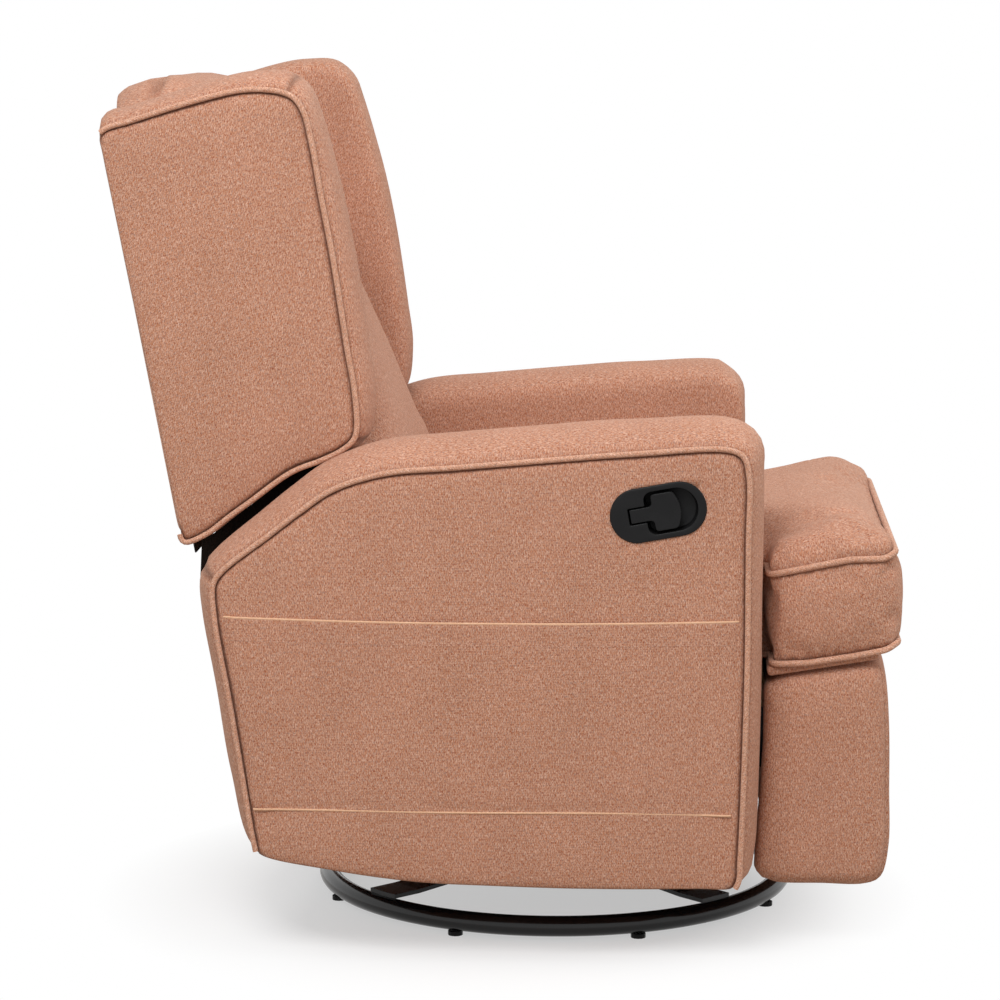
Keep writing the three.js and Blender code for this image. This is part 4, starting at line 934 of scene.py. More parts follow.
def buildSeatCushion():
    cushion, loop = seatCushionForm("seatCushion")
    seams = [np.column_stack([loop, np.full(len(loop), height)]) for height in seat["seamHeights"]]
    pinned = np.vstack([resample(path, 3.0, True) for path in seams]) * mm
    inflated(cushion, seat["pressure"], seat["cap"], seat["frames"], pinned)
    co = vertexArrays(cushion)[0] / mm
    side = np.where(co[:, 0] < seat["earFrom"] - 6, seat["halfWidth"] + 3, seat["earHalfWidth"] + 10)
    co[:, 1] = np.clip(co[:, 1], -side, side)
    co[:, 2] = np.maximum(co[:, 2], 0.6)
    co[:, 2] += seatSway(co)
    setVertices(cushion, seatPlace(co))
    subdivided(cushion)
    softRipple(cushion, *seat["ripple"])
    welts = []
    for path in seams:
        proud = np.column_stack([offsetLoop(path[:, :2], 1.2), path[:, 2] + 0.8])
        proud[:, 2] += seatSway(proud)
        welts.append(resample(seatPlace(proud), 0.004, True))
    for welt in welts:
        pressSeam(cushion, np.vstack([welt, welt[:1]]), *seat["press"])
    # Painted shade beside both welts
    shadeSeams(cushion, [resample(welt, 0.002, True) for welt in welts], seat["seamReach"])
    finished(cushion, "seat_carriage", "seat_cushion", seat["pitch"])
    for label, welt in zip(("Top", "Bottom"), welts):
        piped(f"cushionPiping{label}", welt, seat["pipingRadius"], "seat_carriage", True)


buildSeatCushion()
print("seat cushion built")

nose = {"low": (-2.5, -314.0, -12.5), "high": (129.0, 314.0, -0.6), "round": 4.5}


def roundedSlab(name, low, high, radius, place, steps=3, splits=24):
    # A soft-edged flat piece between two corners of a leaning frame
    low, high = np.array(low, float), np.array(high, float)
    made = bmesh.new()
    bmesh.ops.create_cube(made, size=1.0)
    for vertex in made.verts:
        share = np.array(vertex.co) + 0.5
        vertex.co = Vector(low + share * (high - low))
    bmesh.ops.bevel(made, geom=made.edges[:], offset=radius, segments=steps, profile=0.5, affect="EDGES")
    long = [e for e in made.edges if e.calc_length() > (high - low).max() * 0.4]
    bmesh.ops.subdivide_edges(made, edges=long, cuts=splits, use_grid_fill=True)
    bmesh.ops.triangulate(made, faces=[f for f in made.faces if len(f.verts) > 4])
    mesh = bpy.data.meshes.new(name)
    made.to_mesh(mesh)
    made.free()
    obj = linked(name, mesh)
    setVertices(obj, place(vertexArrays(obj)[0]))
    return faceOut(obj)


noseFrame = leaningFrame(seat["bend"], seatAhead, (0, 1, 0), seatAbove)
seatNose = roundedSlab("seatNose", nose["low"], nose["high"], nose["round"], noseFrame)
finished(seatNose, "seat_carriage", "seat_nose", seat["pitch"], angle=50)

# Back cushion: level sections stacked up along the leaning back
back = {
    "foot": (-430.0, 489.0), "lean": 10.5, "bottom": -150.0, "wideTop": 46.0, "wideHalf": 247.0,
    "halfWidth": 213.0, "lumbarRearX": -236.0, "frame": 22.6, "sections": 120, "shoulderSpan": 9.0,
    "footDraw": 16.0,
    "front": [(-150, 236), (-130, 257), (-101, 270), (-60, 275), (-20, 273), (34, 266), (74, 260), (137, 247),
              (218, 227), (330, 200), (431, 175), (480, 156), (498, 143), (512, 124), (523, 103), (531, 82),
              (535, 60)],
    "headFrom": 505.0, "headDraw": 10.0,
    "headDrop": 34.0, "dropSide": (118.0, 95.0), "dropRise": (400.0, 135.0),
    "capFrom": 440.0,
    "rearTop": [(440, 22), (456, 4), (470, -1.5), (519, -2.5), (526, 0), (531, 12), (535, 44)],
    "sidePower": 0.4, "frontPower": 0.62, "rearPower": 0.4, "rearShare": 0.30,
    "ripple": (0.0025, 0.12, 23, (1, 1, 0.7)),
}
backAhead, backAbove = risingAxes(back["lean"])
backPlace = leaningFrame(back["foot"], (0, 1, 0), backAbove, backAhead)


def along(table, value):
    table = np.array(table, float)
    return float(np.interp(value, table[:, 0], table[:, 1]))


def shareOf(value, start, span):
    return min(1.0, max(0.0, (value - start) / span))


def backSection(v):
    # A closed loop of (u, v, n): a broad crowned front, rounded shoulders and a flat rear
    shoulder = 1 / (1 + math.exp(-(v - back["wideTop"]) / back["shoulderSpan"]))
    half = back["wideHalf"] + (back["halfWidth"] - back["wideHalf"]) * shoulder
    front = along(back["front"], v)
    if v > back["capFrom"]:
        rear = along(back["rearTop"], v)
    else:
        lumbar = (back["lumbarRearX"] - back["foot"][0] + v * backAhead[2]) / backAhead[0]
        rear = back["frame"] + (lumbar - back["frame"]) * (1 - shoulder)
    half -= back["footDraw"] * (1 - shareOf(v, back["bottom"], 25) ** 0.5)
    if v > back["headFrom"]:
        half -= back["headDraw"] * ((v - back["headFrom"]) / 30) ** 2
    depth, thin = front - rear, back["rearShare"]
    loop = []
    for angle in 2 * math.pi * (np.arange(back["sections"]) + 0.5) / back["sections"]:
        c, s = math.cos(angle), math.sin(angle)
        u = half * math.copysign(abs(c) ** back["sidePower"], c)
        if s > 0:
            n = rear + depth * (thin + (1 - thin) * abs(s) ** back["frontPower"])
        else:
            n = rear + depth * thin * (1 - abs(s) ** back["rearPower"])
        drop = shareOf(abs(u), *back["dropSide"]) ** 2 * shareOf(v, *back["dropRise"]) ** 1.5
        loop.append((u, v - back["headDrop"] * drop, n))
    return np.array(loop)


def buildBackCushion():
    heights = np.concatenate([
        [-149, -145, -138, -128], np.linspace(-116, 20, 14), np.linspace(26, 66, 9), np.linspace(78, 480, 34),
        [488, 496, 503, 509, 514, 518, 522, 525, 528, 531, 533, 534.4]])
    rings = [backPlace(backSection(v)) for v in heights]
    foot, head = backPlace([[0, back["bottom"], back["front"][0][1] * 0.97 - 20], [0, 535.2, 55]])
    cushion = ringsObject("backCushion", rings, foot, head)
    softRipple(cushion, *back["ripple"])
    finished(cushion, "backrest", "back_cushion", -back["lean"])


buildBackCushion()
print("back cushion built")

# Outside back: one quilted panel with a welt round it
rearPanel = {
    "outline": [(-301, 8, 16), (301, 8, 16), (301, 468, 22), (180, 505, 60), (0, 513, 60), (-180, 505, 60),
                (-301, 468, 22)],
    "centre": (0, 250), "front": -0.6, "edge": -2.4, "crown": 19.0, "reach": 170.0, "ramp": 1.5, "spacing": 7.0,
    "pipingRadius": 3.0, "ripple": (0.0012, 0.14, 31),
}


def facePanel(name, panel, place):
    # A padded panel: flat on its mounting side, crowned on the other, and wedge-edged with a ramp
    loop = resample(roundedOutline(panel["outline"]), panel["spacing"], True)
    centre = np.array(panel["centre"], float)
    front, edge, ramp = panel["front"], panel["edge"], panel["ramp"]
    swell = math.copysign(panel["crown"], edge - front)

    def crowned(points):
        far = edgeDistance(points, loop)
        if ramp:
            return edge + swell * (1 - (1 - np.clip(far / panel["reach"], 0, 1)) ** ramp)
        return edge + swell * rise(far, panel["reach"])

    inside = [towards(centre, loop, share) for share in (0.08, 0.2, 0.32, 0.44, 0.55, 0.65, 0.74, 0.82, 0.89)]
    rows = [(points, front) for points in inside]
    for inset, share in ((4.0, 0), (1.0, 0.25), (0, 0.55), (1.0, 0.85)):
        rows.append((offsetLoop(loop, -inset), front + share * (edge - front)))
    for points in [offsetLoop(loop, -inset) for inset in (4.0, 8.0, 14.0, 22.0)] + inside[::-1]:
        rows.append((points, crowned(points)))
    made = stacked(name, place, rows, centre, (front, crowned(centre[None, :])))
    softRipple(made, *panel["ripple"])
    return made, loop


rearCover, rearLoop = facePanel("rearCover", rearPanel, backPlace)
finished(rearCover, "backrest", "rear_cover", -back["lean"])
rearWelt = resample(atDepth(backPlace, rearLoop, rearPanel["front"]), 0.004, True)
piped("rearPiping", rearWelt, rearPanel["pipingRadius"], "backrest", True)

# Panel under the back, from its lower edge to its upper one
lowerPanel = {
    "low": (-345.0, 140.0), "high": (-393.0, 462.0), "half": 258.5, "corner": 12.0, "front": -13.6, "edge": 0.0,
    "crown": 6.0, "reach": 90.0, "ramp": None, "spacing": 8.0, "ripple": (0.001, 0.13, 37), "tilt": -8.5,
}
panelWay = np.subtract(lowerPanel["high"], lowerPanel["low"])
panelRun = math.hypot(*panelWay)
slopeX, slopeZ = panelWay / panelRun
lowerPanel["centre"] = (0, panelRun / 2)
lowerPanel["outline"] = [(side * lowerPanel["half"], up, lowerPanel["corner"])
                         for side, up in ((-1, 0), (1, 0), (1, panelRun), (-1, panelRun))]
lowerPlace = leaningFrame(lowerPanel["low"], (0, -1, 0), (slopeX, 0, slopeZ), (-slopeZ, 0, slopeX))
lowerRear = facePanel("lowerRearPanel", lowerPanel, lowerPlace)[0]
finished(lowerRear, "seat_carriage", "lower_rear_panel", lowerPanel["tilt"])
print("rear panels built")

# Near-black sheets in the gap between the wings, the arms and the back
gapSheets = {
    "inner": 250.2, "outer": 252.8, "spacing": 6.0, "ripple": (0.0008, 0.05, 51),
    "outline": [(-415, 477), (-400, 486), (-375, 506), (-349, 525), (-299, 561), (-262, 576), (-237, 589),
                (-216, 586), (-208, 469), (-417, 430)],
    "flapLow": (-249.0, -28.0, 1.2), "flapHigh": (249.0, 4.0, 3.6), "flapRound": 0.9,
}


def buildDarkSheets():
    loop = resample(gapSheets["outline"], gapSheets["spacing"], True)
    centre = loop.mean(0)
    inside = [towards(centre, loop, share) for share in (0.35, 0.7, 1.0)]
    height, size, seed = gapSheets["ripple"]
    for side, sign in sides.items():
        inner, outer = sign * gapSheets["inner"], sign * gapSheets["outer"]
        rows = [(points, inner) for points in inside] + [(points, outer) for points in reversed(inside)]
        panel = stacked(f"darkGapSheet{side}", fromSide, rows, centre, (inner, outer))
        softRipple(panel, height, size, seed + sign)
        finished(panel, "seat_carriage", None, 0, nearBlackCloth, 40)
    flap = roundedSlab("rearFlap", gapSheets["flapLow"], gapSheets["flapHigh"], gapSheets["flapRound"], backPlace)
    finished(flap, "backrest", None, 0, nearBlackCloth, 50)


buildDarkSheets()
print("lining built")

# Footrest: one upholstered block with rounded ends
footrest = {
    "halfWidth": 319.0, "crown": 9.0, "crownReach": 110.0, "endPad": 1.5, "endReach": 60.0, "endRound": 18.0,
    "wrap": 4.0, "wrapFrom": 268.0, "wrapSpan": 12.0, "wrapLow": 9.5, "wrapLowBand": (250.0, 150.0),
    "centre": (331.0, 216.0), "spacing": 6.0, "ripple": (0.0014, 0.11, 41),
    "outline": [(261, 99, 0), (262, 87, 0.1), (270, 81.5, 0.2), (330, 81, 0.3), (378, 81.5, 0.4), (394, 90, 0.8),
                (401, 122, 1), (401, 190, 1), (399.6, 258, 1), (397, 318, 0.8), (393, 337, 0.6), (381, 344, 0.5),
                (328, 338.6, 0.4), (272, 326, 0.2), (262, 318, 0.05), (261, 290, 0), (261, 200, 0)],
}


def buildFootrest():
    loop = curveThrough(footrest["outline"], footrest["spacing"])
    full = np.clip(loop[:, 2], 0, 1)
    centre = np.array(footrest["centre"])
    half, roundness, endPad = (footrest[k] for k in ("halfWidth", "endRound", "endPad"))
    flat = half - endPad
    ends = []
    for share in (0.1, 0.22, 0.34, 0.46, 0.58, 0.68):
        points = towards(centre, loop[:, :2], share)
        ends.append((points, flat + endPad * rise(edgeDistance(points, loop), footrest["endReach"])))
    wrapTop, wrapSpan = footrest["wrapLowBand"]
    wrap = footrest["wrap"] + footrest["wrapLow"] * np.clip((wrapTop - loop[:, 1]) / wrapSpan, 0, 1)
    wrap = wrap * np.clip(1 - full / 0.15, 0, 1)
    grown = np.column_stack([offsetLoop(loop, wrap), loop[:, 2]])
    for turn in np.radians((3, 14, 26, 38, 50, 62, 74, 86)):
        inset = roundness * (1 - math.sin(turn))
        ends.append((drawnIn(grown, centre, inset), flat - roundness * (1 - math.cos(turn))))
    rows = [(points, -y) for points, y in ends]
    for y in np.linspace(-flat + roundness, flat - roundness, 60):
        swell = rise(flat - abs(y), footrest["crownReach"])
        side = np.clip((abs(y) - footrest["wrapFrom"]) / footrest["wrapSpan"], 0, 1)
        rows.append((offsetLoop(loop, footrest["crown"] * full * swell + side * wrap), y))
    pad = stacked("footrestPad", fromSide, rows + ends[::-1], centre, (-half, half))
    softRipple(pad, *footrest["ripple"])
    finished(pad, "footrest", "footrest_pad", 0)


buildFootrest()
print("footrest built")

# Floor ring: a smooth bent tube
ringShape = {"radius": 288.5, "tube": 12.5, "height": 18.0, "around": 160, "section": 20}
ringPath = [(ringShape["radius"] * math.cos(a), ringShape["radius"] * math.sin(a), ringShape["height"])
            for a in np.linspace(0, 2 * math.pi, ringShape["around"], endpoint=False)]
floorRing = tube("floorRing", toRow(ringPath), ringShape["tube"] * mm, True, ringShape["section"])
declared(dress(floorRing, glossBlack), "base", "base_ring")
print("floor ring built")


# Side pocket: one cloth panel with a folded hem, sewn to the arm along its sides and foot
pocket = {
    "rearFoot": -340.0, "rearHem": -371.5, "frontFoot": 220.5, "frontHem": 226.5, "foot": 182.0, "hem": 409.0,
    "hang": 395.4, "sag": 4.5, "stand": 4.6, "wave": 0.5, "ruffle": 0.4, "cloth": 1.3, "foldDepth": 27.0,
    "foldRadius": 1.5,
    "columns": 150, "rows": 46, "edgeReach": 26.0,
    "sideDrop": 3.6, "footDrop": 2.2, "seamAllowance": 6.0,
    "tackColumns": (-318.0, -72.0, 176.0), "stitchInset": 1.5, "stitchLift": 0.15, "seamReach": 0.0036,
}
pocketHeight = pocket["hem"] - pocket["foot"]


def pocketPoint(across, up):
    # across runs 0 to 1 from rear to front, up from 0 at the foot to 1 at the hem
    rear = pocket["rearFoot"] + (pocket["rearHem"] - pocket["rearFoot"]) * up
    front = pocket["frontFoot"] + (pocket["frontHem"] - pocket["frontFoot"]) * up
    x = rear + (front - rear) * across
    z = pocket["foot"] + pocketHeight * up
    z -= pocket["sag"] * math.sin(math.pi * across) ** 0.8 * up ** 2
    width = front - rear
    side = min(1.0, min(across, 1 - across) * width / pocket["edgeReach"])
    foot = min(1.0, up * pocketHeight / pocket["edgeReach"])
    loose = math.sin(math.pi * across) ** 0.7 * up ** 1.5
    wave = pocket["wave"] * math.sin(across * 17 + 2.0 * up) * up
    wave += pocket["ruffle"] * math.sin(across * 31 + 1.0)
    drop = pocket["sideDrop"] * (1 - rise(side, 1.0)) + pocket["footDrop"] * (1 - rise(foot, 1.0))
    y = -(pocket["hang"] - drop + pocket["stand"] * loose + wave * side * foot)
    return x, y, z


def buildPocket():
    columns, rows, radius = pocket["columns"], pocket["rows"], pocket["foldRadius"]
    # Up the outer side, round the fold and down its inner side: share of the height, way in, lift
    path = [(row / rows, 0.0, 0.0) for row in range(rows + 1)]
    for turn in np.linspace(0, math.pi, 7)[1:]:
        path.append((1.0, radius * (1 - math.cos(turn)), radius * math.sin(turn)))
    for step in np.linspace(0, 1, 8)[1:]:
        path.append((1 - step * pocket["foldDepth"] / pocketHeight, 2 * radius, 0.0))
    vertices, faces = [], []
    for up, inset, lift in path:
        for c in range(columns + 1):
            x, y, z = pocketPoint(c / columns, up)
            vertices.append((x, y + inset, z + lift))
    count = columns + 1
    for k in range(len(path) - 1):
        for c in range(columns):
            faces.append((k * count + c, k * count + c + 1, (k + 1) * count + c + 1, (k + 1) * count + c))
    obj = meshObject("sidePocket", toRow(vertices), faces)
    if vertexArrays(obj)[1][:, 1].mean() > 0:
        obj.data.flip_normals()
    weaveMap(obj)
    wall = obj.modifiers.new("Cloth thickness", "SOLIDIFY")
    wall.thickness = pocket["cloth"] * mm
    wall.offset = -1
    applied(obj)
    # Painted shade along the crease beside the welt, where the pocket meets it
    shadeSeams(obj, creaseOf["armCoverRight"][:1], pocket["seamReach"])
    smoothShade(obj, 60)
    return declared(dress(obj, cloth), "seat_carriage", "side_pocket")


sidePocket = buildPocket()

# Rolled seam along the foot of the pocket and the rounded edge of its hem, both in a cloth painted lighter as an
# edge highlight
cords = {
    "proud": 1.0, "endProud": 2.6, "endShare": 22, "sway": 0.7, "radius": 1.4,
    "hemInset": 1.2, "hemLift": 1.2, "hemRadius": 1.5, "sections": 8,
}
footSeam, hemEdge = [], []
for across in np.linspace(0.004, 0.996, 160):
    x, y, z = pocketPoint(across, 0.0)
    nearEnd = max(0.0, 1 - min(across, 1 - across) * cords["endShare"])
    footSeam.append((x, y - cords["proud"] - cords["endProud"] * nearEnd,
                     z + cords["sway"] * math.sin(across * 9 + 1)))
for across in np.linspace(0.002, 0.998, 180):
    x, y, z = pocketPoint(across, 1.0)
    hemEdge.append((x, y + cords["hemInset"], z + cords["hemLift"]))
for name, path, key in (("pocketFootSeam", footSeam, "radius"), ("pocketHemEdge", hemEdge, "hemRadius")):
    edge = dress(tube(name, toRow(path), cords[key] * mm, False, cords["sections"]), hemClothPaintedHighlight)
    declared(edge, "seat_carriage")


# Stitches: small thread capsules set along a path by Geometry Nodes
def stitchTree():
    tree = bpy.data.node_groups.new("stitchesAlongPath", "GeometryNodeTree")
    tree.interface.new_socket("Geometry", in_out="INPUT", socket_type="NodeSocketGeometry")
    for label, kind, value in (
            ("Pitch", "Float", 0.0046), ("Stitch Length", "Float", 0.0032), ("Thread Radius", "Float", 0.00038),
            ("Wander", "Float", 0.06), ("Seed", "Int", 7)):
        socket = tree.interface.new_socket(label, in_out="INPUT", socket_type="NodeSocket" + kind)
        socket.default_value = value
    tree.interface.new_socket("Thread", in_out="INPUT", socket_type="NodeSocketMaterial")
    tree.interface.new_socket("Geometry", in_out="OUTPUT", socket_type="NodeSocketGeometry")
    given = tree.nodes.new("NodeGroupInput").outputs
    toCurve = addNode(tree, "GeometryNodeMeshToCurve", [("Mesh", given["Geometry"])])
    marks = addNode(tree, "GeometryNodeCurveToPoints", [
        ("Curve", toCurve.outputs[0]), ("Length", given["Pitch"])], mode="LENGTH")
    half = mathOf(tree, "MULTIPLY", given["Stitch Length"], 0.5)
    start = addNode(tree, "ShaderNodeCombineXYZ", [(2, mathOf(tree, "MULTIPLY", half, -1.0))]).outputs[0]
    end = addNode(tree, "ShaderNodeCombineXYZ", [(2, half)]).outputs[0]
    line = addNode(tree, "GeometryNodeCurvePrimitiveLine", [("Start", start), ("End", end)])
    cut = addNode(tree, "GeometryNodeResampleCurve", [("Curve", line.outputs[0]), ("Count", 5)])
    spot = addNode(tree, "GeometryNodeSplineParameter").outputs["Factor"]
    bow = mathOf(tree, "SINE", mathOf(tree, "MULTIPLY", spot, math.pi))
    thick = mathOf(tree, "ADD", mathOf(tree, "MULTIPLY", bow, 0.75), 0.25)
    thinEnds = addNode(tree, "GeometryNodeSetCurveRadius", [("Curve", cut.outputs[0]), ("Radius", thick)])
    round = addNode(tree, "GeometryNodeCurvePrimitiveCircle", [
        ("Resolution", 6), ("Radius", given["Thread Radius"])])
    capsule = addNode(tree, "GeometryNodeCurveToMesh", [
        ("Curve", thinEnds.outputs[0]), ("Profile Curve", round.outputs[0]), ("Fill Caps", True)])
    if "Scale" in capsule.inputs:
        tree.links.new(thick, capsule.inputs["Scale"])
    turn = addNode(tree, "FunctionNodeRandomValue", [("Seed", given["Seed"])], data_type="FLOAT_VECTOR")
    low = addNode(tree, "ShaderNodeCombineXYZ", [
        (k, mathOf(tree, "MULTIPLY", given["Wander"], -1.0)) for k in range(2)]).outputs[0]
    high = addNode(tree, "ShaderNodeCombineXYZ", [(k, given["Wander"]) for k in range(2)]).outputs[0]
    tree.links.new(low, turn.inputs[0])
    tree.links.new(high, turn.inputs[1])
    placed = addNode(tree, "GeometryNodeInstanceOnPoints", [
        ("Points", marks.outputs["Points"]), ("Instance", capsule.outputs[0]),
        ("Rotation", marks.outputs["Rotation"])])
    wandered = addNode(tree, "GeometryNodeRotateInstances", [
        ("Instances", placed.outputs[0]), ("Rotation", turn.outputs[0])])
    realized = addNode(tree, "GeometryNodeRealizeInstances", [("Geometry", wandered.outputs[0])])
    coloured = addNode(tree, "GeometryNodeSetMaterial", [
        ("Geometry", realized.outputs[0]), ("Material", given["Thread"])])
    output = tree.nodes.new("NodeGroupOutput")
    tree.links.new(coloured.outputs[0], output.inputs[0])
    return tree


stitches = stitchTree()


def sewn(name, paths, body):
    # Paths in metres become one mesh of edges, and the tree turns them into stitches
    vertices, edges = [], []
    for path in paths:
        first = len(vertices)
        vertices += [tuple(map(float, p)) for p in path]
        edges += [(first + k, first + k + 1) for k in range(len(path) - 1)]
    mesh = bpy.data.meshes.new(name)
    mesh.from_pydata(vertices, edges, [])
    obj = linked(name, mesh)
    step = obj.modifiers.new("Stitches", "NODES")
    step.node_group = stitches
    thread = next(item for item in stitches.interface.items_tree if item.name == "Thread")
    step[thread.identifier] = threadCloth
    obj.update_tag()
    applied(obj)
    smoothShade(obj)
    weaveMap(obj)
    return declared(obj, body)


def pocketLine(across, up):
    # A line on the pocket's outer face, just proud of the cloth
    made = [pocketPoint(a, u) for a, u in np.broadcast(across, up)]
    return toRow(made) - [0, pocket["stitchLift"] * mm, 0]


def buildPocketStitches():
    foldShare = 1 - (pocket["foldDepth"] - pocket["stitchInset"]) / pocketHeight
    lines = [pocketLine(np.linspace(0.01, 0.99, 240), foldShare)]
    for x in pocket["tackColumns"]:
        across = (x - pocket["rearHem"]) / (pocket["frontHem"] - pocket["rearHem"])
        lines.append(pocketLine(across, np.linspace(foldShare, 0.995, 24)))
    return sewn("pocketStitches", lines, "seat_carriage")


pocketStitches = buildPocketStitches()
print("pocket built")


# Moulded plate with its finger cup
def cupOutline():
    # One half, from the round front end to the slot's rear, then its mirror image
    r, corner, small = plate["cupRadius"], plate["cupCorner"], plate["slotCorner"]
    half, rear, slot = plate["slotHalf"], -plate["cupRear"], -plate["slotRear"]
    upper = arcPoints((rear + corner, r - corner), corner, 90, 180, 12) + [(rear, half + small)]
    upper += [(rear - small * (1 - math.cos(a)), half + small * (1 - math.sin(a)))
              for a in np.radians((30, 60))]
    upper += [(rear - small, half)] + arcPoints((slot + small, half - small), small, 90, 180, 4)
    lower = [(x, -y) for x, y in reversed(upper)]
    return np.array(arcPoints((plate["cupFront"] - r, 0), r, -90, 90, 40) + upper + lower)


def ringAlong(outline, centre, angles):
    # The point of a star-shaped outline in each direction from a centre
    closed = np.vstack([outline, outline[:1]]) - centre
    dense = np.concatenate([np.linspace(*ends, 12, endpoint=False) for ends in zip(closed[:-1], closed[1:])])
    around = np.unwrap(np.arctan2(dense[:, 1], dense[:, 0]))
    order = np.argsort(around % (2 * math.pi))
    turn, x, y = (around % (2 * math.pi))[order], dense[order, 0], dense[order, 1]
    x, y = np.interp(angles, turn, x, period=2 * math.pi), np.interp(angles, turn, y, period=2 * math.pi)
    return np.stack([x, y], 1) + centre


def anglesOf(outline, centre, spacing):
    points = resample(outline, spacing, True) - centre
    return np.sort(np.arctan2(points[:, 1], points[:, 0]) % (2 * math.pi))


def roundedRows(outline, radius, top, turns):
    # Rows of an outward edge that rounds over to its face
    return [(offsetLoop(outline, -radius * (1 - math.cos(t))), top - radius * (1 - math.sin(t)))
            for t in np.radians(turns)]


def buildPlate():
    centre = np.array(plate["middle"])
    cupEdge = cupOutline()
    angles = anglesOf(cupEdge, centre, 0.75)
    cup = ringAlong(cupEdge, centre, angles)
    rim = ringAlong(stadiumOutline(plate["length"], plate["height"]), centre, angles)
    depth, lip, edge, crown, draft, bend = (
        plate[k] for k in ("cupDepth", "lip", "edgeRound", "crown", "cupDraft", "cupRound"))
    back, cupFloor = -depth - plate["wall"], -depth - 0.15
    shell = offsetLoop(cup, plate["wall"])
    rows = [(towards(centre, shell, share), back) for share in (0.3, 0.7, 1.0)]
    rows += [(shell, -plate["rimDepth"] - 0.3), (rim, -plate["rimDepth"]), (rim, -edge)]
    rows += roundedRows(rim, edge, 0.0, (20, 40, 60, 80))
    for share in (0.0, 0.25, 0.5, 0.75, 1.0):
        between = offsetLoop(rim, -edge) * (1 - share) + offsetLoop(cup, lip) * share
        rows.append((between, crown * math.sin(math.pi * (0.15 + 0.7 * share)) - crown * 0.45))
    for turn in np.radians((70, 45, 20)):
        rows.append((offsetLoop(cup, lip * (1 - math.cos(turn))), -lip * (1 - math.sin(turn))))
    rows.append((cup, -lip))
    for mark in (0.25, 0.5, 0.75):
        rows.append((offsetLoop(cup, -draft * mark), -lip - (depth - lip - bend) * mark))
    for turn in np.radians((0, 25, 50, 75)):
        fallen = -(depth - bend) - bend * math.sin(turn)
        rows.append((offsetLoop(cup, -draft - bend * (1 - math.cos(turn))), fallen))
    for share in (0.75, 0.45, 0.2):
        rows.append((towards(centre, offsetLoop(cup, -draft - bend), share), cupFloor))
    rows = [(points, plate["faceY"] + out) for points, out in rows]
    made = stacked("leverPlate", platePlace, rows, centre, (plate["faceY"] + back, plate["faceY"] + cupFloor))
    smoothShade(made, 38)
    declared(dress(made, satinPlastic), "seat_carriage", "handle_bezel")


leverForm = {
    "rear": 32.5, "stem": 8.0, "rearEdge": -6.0, "half": 21.5, "ahead": 26.0, "bow": 3.0, "corner": 4.5,
    "fillet": 5.5, "thickness": 7.0, "edgeRound": 0.9, "faceDrop": 0.1, "middle": (6.0, 0.0),
    "dish": 0.7, "dishEdge": (2.0, 12.0), "dishFrom": -8.0,
}


def leverOutline():
    rear, stem, edge, half, ahead, bow, corner, fillet = (
        leverForm[k] for k in ("rear", "stem", "rearEdge", "half", "ahead", "bow", "corner", "fillet"))
    return roundedOutline([
        (-rear, -stem, 1.0), (edge, -stem, fillet), (edge, -half, corner), (ahead - bow - 3, -half, corner),
        (ahead, -half / 3, 6.0), (ahead, half / 3, 6.0),
        (ahead - bow - 3, half, corner), (edge, half, corner), (edge, stem, fillet), (-rear, stem, 1.0)], 8)


def buildLever():
    centre = np.array(leverForm["middle"])
    edgeLine = leverOutline()
    blade = ringAlong(edgeLine, centre, anglesOf(edgeLine, centre, 0.6))
    top, edge = plate["faceY"] - leverForm["faceDrop"], leverForm["edgeRound"]
    low = top - leverForm["thickness"]
    flatEdge, dishSpan = leverForm["dishEdge"]

    def dished(points):
        sunk = np.clip((edgeDistance(points, blade) - flatEdge) / dishSpan, 0, 1) ** 0.7
        return top - leverForm["dish"] * sunk * (points[:, 0] > leverForm["dishFrom"])

    rows = [(towards(centre, blade, share), low) for share in (0.3, 0.7)]
    rows += [(offsetLoop(blade, -edge), low), (offsetLoop(blade, -edge * 0.3), low + edge * 0.3)]
    rows += [(blade, low + edge), (blade, top - edge)]
    rows += roundedRows(blade, edge, top, (22, 45, 68, 90))
    for share in (0.88, 0.76, 0.62, 0.46, 0.3, 0.15):
        points = towards(centre, blade, share)
        rows.append((points, dished(points)))
    made = stacked("pullLever", platePlace, rows, centre, (low, dished(centre[None, :])))
    smoothShade(made, 40)
    declared(dress(made, satinPlastic), "release_lever", "release_lever")


buildPlate()
buildLever()
print("lever built")


# Floor, light and camera
studio = {
    "worldLight": 0.59, "shadowMiddle": (0, -0.05, 0), "shadowReach": (0.30, 0.52), "nearWhite": 0.5,
    "floorTone": (0.93, 0.93, 0.93, 1), "bounceTone": (0.42, 0.36, 0.31, 1), "white": (1, 1, 1, 1),
}
lamps = {
    "keyLamp": {"place": (-0.5, -2.45, 2.8), "size": 1.6, "power": 65.0},
    "topLamp": {"place": (2.3, -0.1, 2.5), "size": 3.0, "power": 40.0},
}
lampTarget = (0, 0, 0.5)


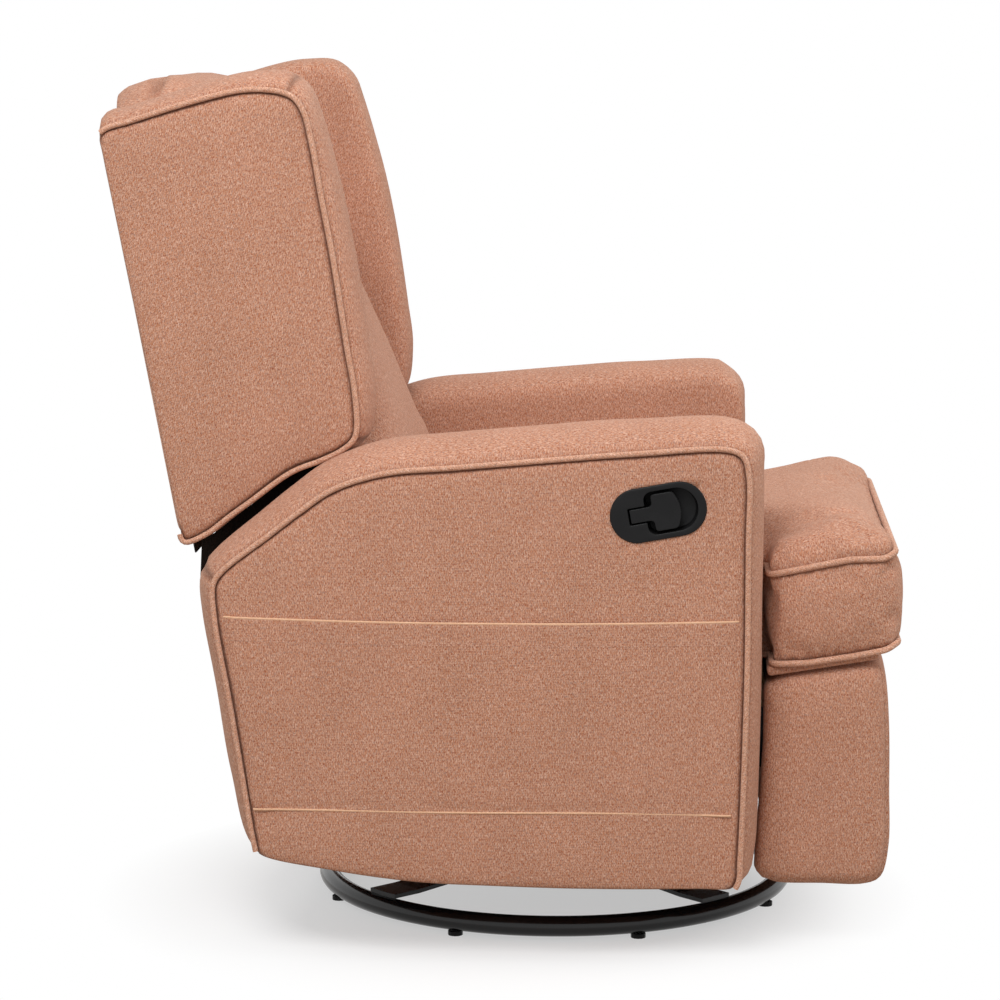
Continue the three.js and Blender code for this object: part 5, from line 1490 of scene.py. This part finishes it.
def stageFloor():
    # Plain white away from the contact shadow
    floor = meshObject("floor", [(-14, -10, 0), (14, -10, 0), (14, 16, 0), (-14, 16, 0)], [(0, 1, 2, 3)])
    material = bpy.data.materials.new("paleFloor")
    tree = bareTree(material)
    rays = addNode(tree, "ShaderNodeLightPath")
    tone = mixOf(tree, rays.outputs["Is Camera Ray"], studio["bounceTone"], studio["floorTone"])
    matte = addNode(tree, "ShaderNodeBsdfDiffuse", [("Color", tone)])
    white = addNode(tree, "ShaderNodeEmission", [("Color", studio["white"]), ("Strength", 1.0)])
    place = addNode(tree, "ShaderNodeTexCoord").outputs["Object"]
    away = addNode(tree, "ShaderNodeVectorMath", [
        (0, place), (1, studio["shadowMiddle"])], operation="DISTANCE")
    clear = spanOf(tree, away.outputs["Value"], *studio["shadowReach"], studio["nearWhite"], 1.0)
    seen = mathOf(tree, "MAXIMUM", rays.outputs["Is Camera Ray"], rays.outputs["Is Glossy Ray"])
    blend = addNode(tree, "ShaderNodeMixShader", [("Fac", mathOf(tree, "MULTIPLY", seen, clear))])
    tree.links.new(matte.outputs[0], blend.inputs[1])
    tree.links.new(white.outputs[0], blend.inputs[2])
    output = tree.nodes.new("ShaderNodeOutputMaterial")
    tree.links.new(blend.outputs[0], output.inputs[0])
    dress(floor, material)


def stageWorld():
    world = bpy.data.worlds.new("studioWorld")
    bpy.context.scene.world = world
    tree = bareTree(world)
    rays = addNode(tree, "ShaderNodeLightPath")
    seen = mathOf(tree, "MAXIMUM", rays.outputs["Is Camera Ray"], rays.outputs["Is Glossy Ray"])
    seen = mathOf(tree, "MAXIMUM", seen, rays.outputs["Is Transmission Ray"])
    strength = spanOf(tree, seen, 0.0, 1.0, studio["worldLight"], 1.0)
    light = addNode(tree, "ShaderNodeBackground", [("Color", studio["white"]), ("Strength", strength)])
    output = tree.nodes.new("ShaderNodeOutputWorld")
    tree.links.new(light.outputs[0], output.inputs[0])


def areaLamp(name, settings):
    data = bpy.data.lights.new(name, "AREA")
    data.shape = "DISK"
    data.size = settings["size"]
    data.energy = settings["power"]
    lamp = linked(name, data)
    lamp.location = settings["place"]
    lamp.rotation_euler = (Vector(lampTarget) - Vector(settings["place"])).to_track_quat("-Z", "Y").to_euler()


cameraSettings = {"place": (0.217, -4.285, 1.120), "pitch": 8.326, "yaw": 3.04, "lens": 123.5}


def stageCamera():
    data = bpy.data.cameras.new("photoCamera")
    data.sensor_width = 36.0
    data.lens = cameraSettings["lens"]
    camera = linked("photoCamera", data)
    camera.location = cameraSettings["place"]
    camera.rotation_euler = (math.radians(90 - cameraSettings["pitch"]), 0, math.radians(cameraSettings["yaw"]))
    bpy.context.scene.camera = camera


stageFloor()
stageWorld()
for lampName, lampSettings in lamps.items():
    areaLamp(lampName, lampSettings)
stageCamera()
bpy.context.scene.view_settings.view_transform = "Standard"
print("stage set")
